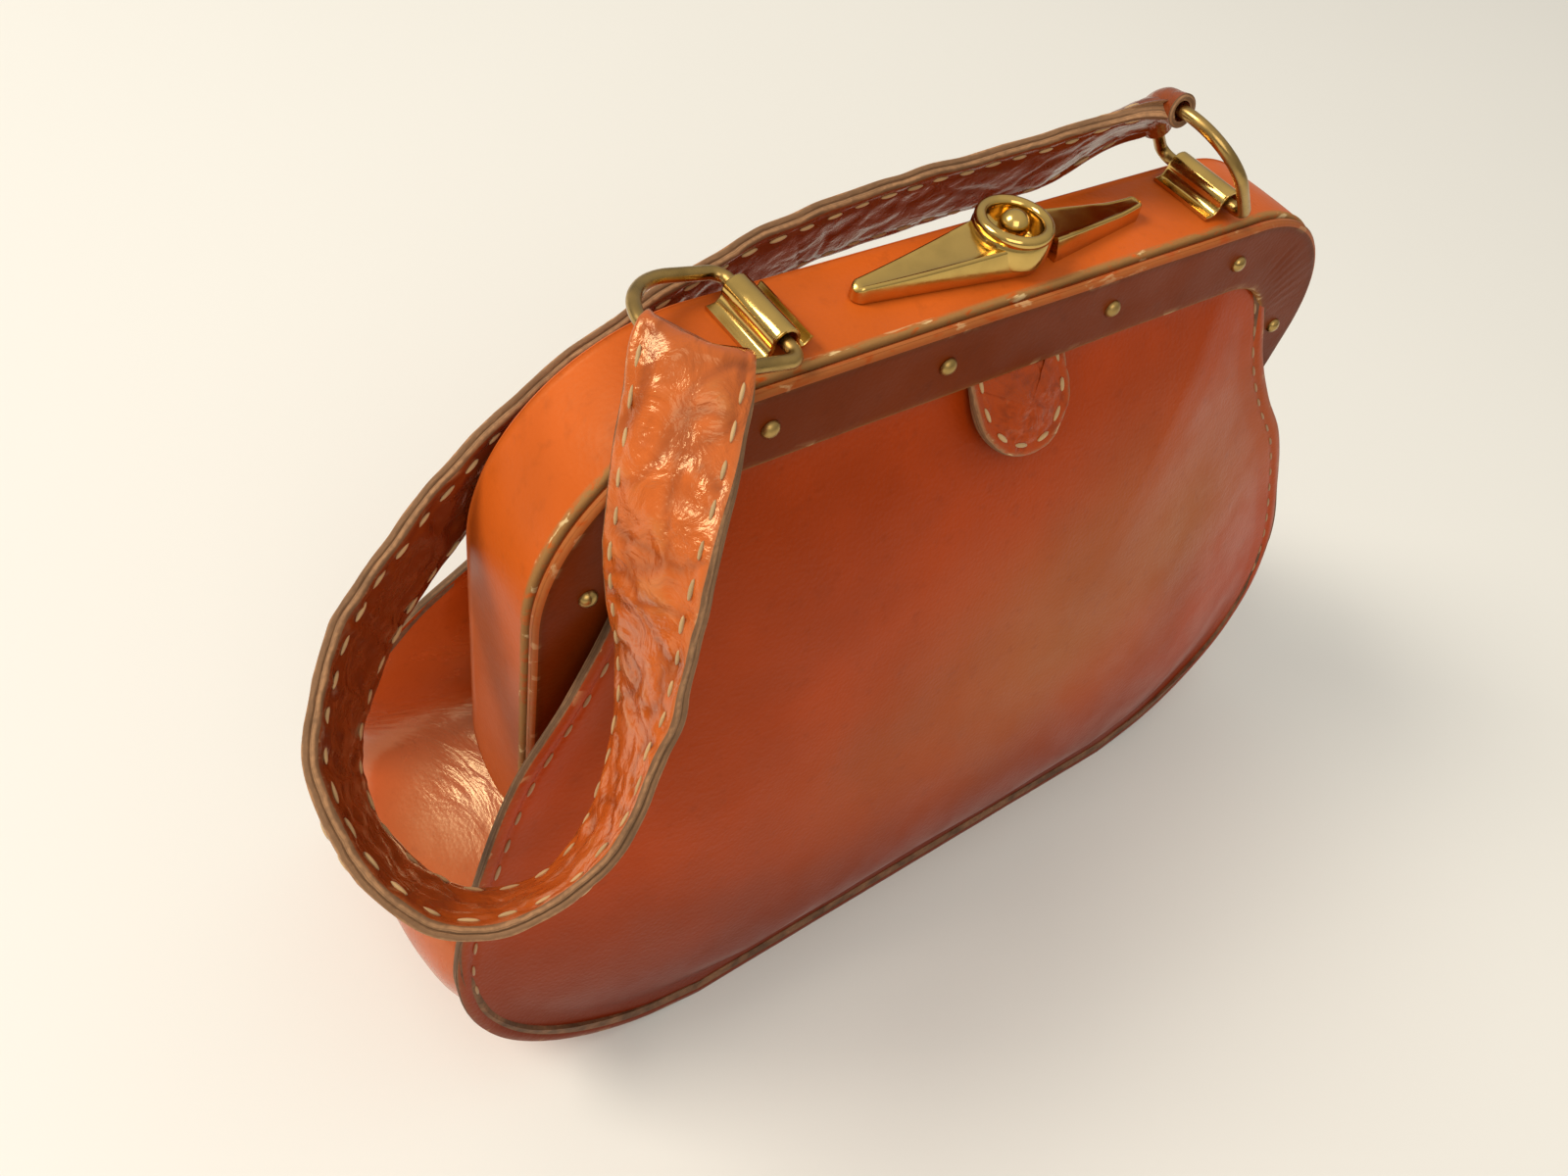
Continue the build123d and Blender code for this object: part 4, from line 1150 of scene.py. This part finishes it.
class BAG_OT_strap(bpy.types.Operator):
    """Builds the strap in two stretches, one for each ring, with its stitches and its rolled right end"""
    bl_idname = "bag.strap"
    bl_label = "Strap"

    def execute(self, context):
        sizes = context.scene.bag_sizes
        finish = materials()
        loops, slots, out, relief, crack = strap_loops(sizes)
        section = strap_section(sizes)[0]
        edge = sizes.strap_width / 2
        wear = 0.3 * fade(np.abs(section[:, 0]), edge - 1.4 * MM, edge)
        layer = 0.5 + section[:, 1] / sizes.strap_thickness
        run = np.linspace(0, 1, STRAP_ROWS)[:, None]
        # Past its lower bend the strap is less creased and painted shade darkens it; a painted highlight
        # makes ridges paler, and painted shade darkens hollows and cracks
        shade = fade(run, 0.20, 0.42)
        crease = 1 - 0.35 * fade(run, 0.08, 0.16) - 0.35 * fade(run, 0.45, 0.6)
        painted_sheen = 0.18 * fade(relief, 0.4, 1.0) * (1 - shade)
        shade = np.maximum(shade, 0.15 * (1 - fade(relief, -0.4, 0.15)) + 0.4 * crack)
        turn = int(STRAP_ROWS * STRAP_MEETING)
        for name, rows, side, nodes in (
            ("front", slice(turn, None, -1), "left", ["strap"]), ("rear", slice(turn, None), "right", []),
        ):
            band = loops[rows]
            start, end = (band[-row].mean(0) for row in STRAP_BENDS[side])
            bend = ("bag", "ring_" + side, tuple(start), tuple(end))
            piece = loft("strap_" + name, band, [finish["strap"], finish["raw"]], slots, sharp_deg=70,
                         fields={"wear": wear, "layer": layer, "crease": crease[rows],
                                 "shade": shade[rows], "painted_sheen": painted_sheen[rows]})
            place(piece, stands_for=nodes, bend=bend)
            for number, column in enumerate(STRAP_STITCH_COLUMNS):
                facing = (out if column < STRAP_FACE else -out)[rows][:-STRAP_BARE_ROWS, column]
                line = band[:-STRAP_BARE_ROWS, column] + facing * 0.15 * MM
                seam = stitch(f"strap_{name}_stitches_{number}", line, facing, pitch_share=0.9)
                place(seam, bend=bend)
        place(build_sleeve("right", sizes), "ring_right")
        return {"FINISHED"}


def build_bracket(side, sizes):
    """A brass sheet bent over a ring's bar: a foot, the hump over the bar, a valley and an upturned lip."""
    axis = JOINTS[side + "_ring_swing"]
    bow = axis.z - TOP - 0.5 * sizes.bracket_sheet
    foot = np.array([(-6.2, 0.5), (-5.0, 0.55), (-3.9, 0.8), (-3.1, 1.7)]) * MM
    lip = np.array([(3.0, 1.7), (3.5, 1.1), (4.4, 1.1), (5.3, 1.9), (6.0, 3.0)]) * MM
    path = smooth_path(np.vstack([foot, arc((0, axis.z - TOP), bow, 188, -8, 15), lip]), 64, space=2)
    along = unit(np.gradient(path, axis=0))
    normal = np.column_stack([-along[:, 1], along[:, 0]])
    loops = []
    # Shares of the length, and of the thickness, which thins at both ends
    stations = ((-0.5, 0.55), (-0.49, 0.85), (-0.47, 1), (0, 1), (0.47, 1), (0.49, 0.85), (0.5, 0.55))
    for reach, share in stations:
        offset = normal * share * sizes.bracket_sheet / 2
        flat = np.vstack([path + offset, (path - offset)[::-1]])
        y = np.full(len(flat), reach * sizes.bracket_length)
        loops.append(np.column_stack([axis.x + flat[:, 0], y, TOP + flat[:, 1]]))
    return loft("ring_bracket_brass_" + side, loops, [materials()["brass"]], sharp_deg=50)


class BAG_OT_rings(bpy.types.Operator):
    """Finishes the strap rings and bends their brackets"""
    bl_idname = "bag.rings"
    bl_label = "Rings and brackets"

    def execute(self, context):
        finish = materials()
        for side in ("left", "right"):
            ring = finished_copy("ring_" + side, finish["aged"])
            place(ring, "ring_" + side, ["ring_" + side])
            bracket = build_bracket(side, context.scene.bag_sizes)
            place(bracket, "bag", ["ring_bracket_" + side])
        return {"FINISHED"}


# Clasp
CLASP_HALF = 40.5 * MM
HUB_RADIUS = 8.8 * MM
LEVER_START = 2.2 * MM


def build_arm(name, side, start, foot, root, tip_lift):
    """One brass arm: a long triangle with steep walls and a rounded tip, its dished top rising to the hub."""
    tip_half, root_half = 2.25 * MM, 7.5 * MM
    tip_height = 3.4 * MM
    reach = CLASP_HALF - tip_half
    tip_turn = np.radians(np.linspace(9, 88, 12))
    run = np.concatenate([np.linspace(start, reach, 40), reach + tip_half * np.sin(tip_turn)])
    loops = []
    for x in run:
        t = (x - start) / (CLASP_HALF - start)
        half = root_half + (tip_half - root_half) * min(1, (x - LEVER_START) / (reach - LEVER_START))
        if x > reach:
            half = tip_half * math.sqrt(max(1 - ((x - reach) / tip_half) ** 2, 0.002))
        # The fixed arm's tip curls up, and every tip slopes down at its very end
        high = tip_height + (root - tip_height) * (1 - t) ** 1.5 + tip_lift * max(0, t - 0.72) ** 1.5 * 6
        high -= 0.9 * MM * fade(x, reach, CLASP_HALF) ** 2
        r = min(0.75 * MM, 0.7 * half)
        top = 0.86 * half
        crest = np.linspace(-(top - r), top - r, 9)
        dish = 0.32 * MM * (1 - (crest / max(top, 1e-6)) ** 2)
        profile = np.vstack([
            [(-half, foot), (-half, foot + 0.3 * high)],
            arc((-(top - r), foot + high - r), r, 178, 100, 5),
            np.column_stack([crest, foot + high - dish]),
            arc((top - r, foot + high - r), r, 80, 2, 5),
            [(half, foot + 0.3 * high), (half, foot)],
        ])
        loops.append(np.column_stack([np.full(len(profile), side * x), profile[:, 0], profile[:, 1]]))
    return loft(name, loops, [materials()["brass"]], sharp_deg=50)


class BAG_OT_clasp(bpy.types.Operator):
    """Builds the turn clasp: lever with its hub, ball post and fixed plate"""
    bl_idname = "bag.clasp"
    bl_label = "Clasp"

    def execute(self, context):
        brass = materials()["brass"]
        foot, floor, rim = TOP + 1.9 * MM, TOP + 3.8 * MM, TOP + 7.9 * MM
        lip, bore = 1.35 * MM, 2.3 * MM
        # Hub: outer wall, rolled lip, and the dish round the ball
        hub = np.vstack([
            [(bore, foot), (HUB_RADIUS - 0.3 * MM, foot), (HUB_RADIUS, foot + 0.4 * MM),
             (HUB_RADIUS - 0.2 * MM, rim - 1.6 * MM), (HUB_RADIUS - 0.5 * MM, rim - 0.9 * MM)],
            arc((HUB_RADIUS - 0.25 * MM - lip, rim), lip, -20, 200, 16),
            [(HUB_RADIUS - 2.9 * MM, rim - 1.2 * MM)],
            arc((HUB_RADIUS - 4.4 * MM, floor + 1.2 * MM), 1.2 * MM, 0, -90, 6),
            [(bore, floor)],
        ])
        arm = build_arm("clasp_lever_brass", -1, LEVER_START, TOP + 0.3 * MM, 6.6 * MM, 0)
        lever = join([arm, lathe("hub", hub, brass, closed=True)])
        place(lever, "clasp_lever", ["clasp_lever"])
        # Post with its ball on top
        stem, ball = 2.2 * MM, 3.3 * MM
        stem_foot, stem_top, ball_height = TOP - 11 * MM, TOP + 4.6 * MM, TOP + 7.2 * MM
        post = np.vstack([
            [(0.05 * MM, stem_foot), (stem, stem_foot), (stem, stem_top)],
            arc((0, ball_height), ball, -46, 89, 22),
        ])
        place(lathe("clasp_post_brass", post, brass), "clasp_lever", ["clasp_post"])
        # Flat disc with broken edges under the hub
        hole, flat, disc_radius, disc_top = 2.35 * MM, 7.6 * MM, 7.8 * MM, TOP + 1.6 * MM
        disc = [(hole, TOP), (flat, TOP), (disc_radius, TOP + 0.2 * MM), (disc_radius, TOP + 1.4 * MM),
                (flat, disc_top), (hole, disc_top)]
        leaf = build_arm("clasp_plate_brass", 1, HUB_RADIUS + 0.3 * MM, TOP, 5.2 * MM, 1.2 * MM)
        plate = join([leaf, lathe("disc", disc, brass, closed=True)])
        place(plate, "bag", ["clasp_plate"])
        return {"FINISHED"}


class BAG_OT_fittings(bpy.types.Operator):
    """Finishes the hinge pins and the latch under the canopy"""
    bl_idname = "bag.fittings"
    bl_label = "Pins and latch"

    def execute(self, context):
        finish = materials()
        for node, body, key, slot in (
            ("hinge_pin_left", "bag", "aged", "aged_brass"), ("hinge_pin_right", "bag", "aged", "aged_brass"),
            ("latch_cam", "clasp_lever", "brass", "clasp_brass"),
            ("latch_keeper", "front_frame", "steel", "spring_steel"),
            ("latch_spring", "bag", "steel", "spring_steel"),
        ):
            place(finished_copy(node, finish[key], 0.12 * MM), body, [node])
        return {"FINISHED"}


# Stage: the camera as solved from the photo, with its right, up and back directions
CAMERA_PLACE = (-0.1799, -0.1347, 0.3287)
CAMERA_AXES = ((0.8092, -0.5608, 0.1751), (0.3496, 0.6992, 0.6236), (-0.4722, -0.4434, 0.7618))
CAMERA_LENS = 27.83


def area_light(name, spot, aim, size, watts, tone):
    """A square soft light that looks at a point."""
    data = bpy.data.lights.new(name, "AREA")
    data.energy, data.size, data.color = watts, size, tone
    light = bpy.data.objects.new(name, data)
    light.location = spot
    light.rotation_euler = (Vector(aim) - Vector(spot)).to_track_quat("-Z", "Y").to_euler()
    bpy.context.scene.collection.objects.link(light)
    return light


class BAG_OT_stage(bpy.types.Operator):
    """Sets the pale floor, the studio light and the camera at the photo's angle"""
    bl_idname = "bag.stage"
    bl_label = "Stage"

    def execute(self, context):
        scene = context.scene
        half_floor = 4.0
        corners = [(x * half_floor, y * half_floor, 0) for x, y in ((-1, -1), (1, -1), (1, 1), (-1, 1))]
        mesh = bpy.data.meshes.new("floor")
        mesh.from_pydata(corners, [], [(0, 1, 2, 3)])
        mesh.materials.append(plain_floor("floor", scene.bag_colours.floor))
        floor = link("floor", mesh)
        aim = (0, 0, 0.1)
        lights = [
            area_light("key", (-1.5, 1.0, 2.0), aim, size=1.0, watts=44, tone=(1, 0.91, 0.78)),
            area_light("fill", (-0.6, -0.9, 1.1), aim, size=0.9, watts=5, tone=(1, 0.94, 0.86)),
        ]
        world = bpy.data.worlds.new("studio")
        world.use_nodes = True
        sky = Graph(world.node_tree)
        # The sky is dim at the horizon and brighter overhead
        ray = sky.add("ShaderNodeSeparateXYZ", {"Vector": sky.add("ShaderNodeTexCoord").outputs["Generated"]})
        glow = sky.add("ShaderNodeMapRange", {
            "Value": ray.outputs["Z"], "From Min": -0.1, "From Max": 0.9, "To Min": 0.26, "To Max": 0.68,
        })
        backdrop = world.node_tree.nodes["Background"]
        backdrop.inputs["Color"].default_value = (1.0, 0.95, 0.87, 1)
        world.node_tree.links.new(glow.outputs["Result"], backdrop.inputs["Strength"])
        scene.world = world
        data = bpy.data.cameras.new("camera")
        data.lens, data.sensor_width, data.sensor_fit = CAMERA_LENS, 36, "HORIZONTAL"
        data.clip_start = 0.01
        camera = bpy.data.objects.new("camera", data)
        turn = Matrix(CAMERA_AXES).transposed().to_4x4()
        camera.matrix_world = Matrix.Translation(CAMERA_PLACE) @ turn
        scene.collection.objects.link(camera)
        scene.camera = camera
        scene.view_settings.view_transform = "Standard"
        return {"FINISHED"}


class BAG_PT_panel(bpy.types.Panel):
    """Sidebar panel with every size, colour and step of the bag."""
    bl_label = "Handbag"
    bl_idname = "BAG_PT_panel"
    bl_space_type = "VIEW_3D"
    bl_region_type = "UI"
    bl_category = "Handbag"

    def draw(self, context):
        for group in (context.scene.bag_sizes, context.scene.bag_colours):
            column = self.layout.column(align=True)
            for key in group.bl_rna.properties.keys():
                if key not in ("rna_type", "name"):
                    column.prop(group, key)
        for operator in OPERATORS:
            self.layout.operator(operator.bl_idname)


OPERATORS = (
    BAG_OT_frame, BAG_OT_studs, BAG_OT_panels, BAG_OT_gusset, BAG_OT_tab, BAG_OT_strap, BAG_OT_rings,
    BAG_OT_clasp, BAG_OT_fittings, BAG_OT_stage,
)
CLASSES = (BagSizes, BagColours, *OPERATORS, BAG_PT_panel)


def register():
    """Registers the classes and the scene's sizes and colours."""
    for item in CLASSES:
        bpy.utils.register_class(item)
    bpy.types.Scene.bag_sizes = PointerProperty(type=BagSizes)
    bpy.types.Scene.bag_colours = PointerProperty(type=BagColours)


def unregister():
    """Takes back what register did."""
    del bpy.types.Scene.bag_colours
    del bpy.types.Scene.bag_sizes
    for item in reversed(CLASSES):
        bpy.utils.unregister_class(item)


def main():
    """Builds every piece and the stage."""
    register()
    bpy.ops.bag.frame()
    bpy.ops.bag.studs()
    bpy.ops.bag.panels()
    bpy.ops.bag.gusset()
    bpy.ops.bag.tab()
    bpy.ops.bag.strap()
    bpy.ops.bag.rings()
    bpy.ops.bag.clasp()
    bpy.ops.bag.fittings()
    bpy.ops.bag.stage()


if __name__ == "__main__":
    main()
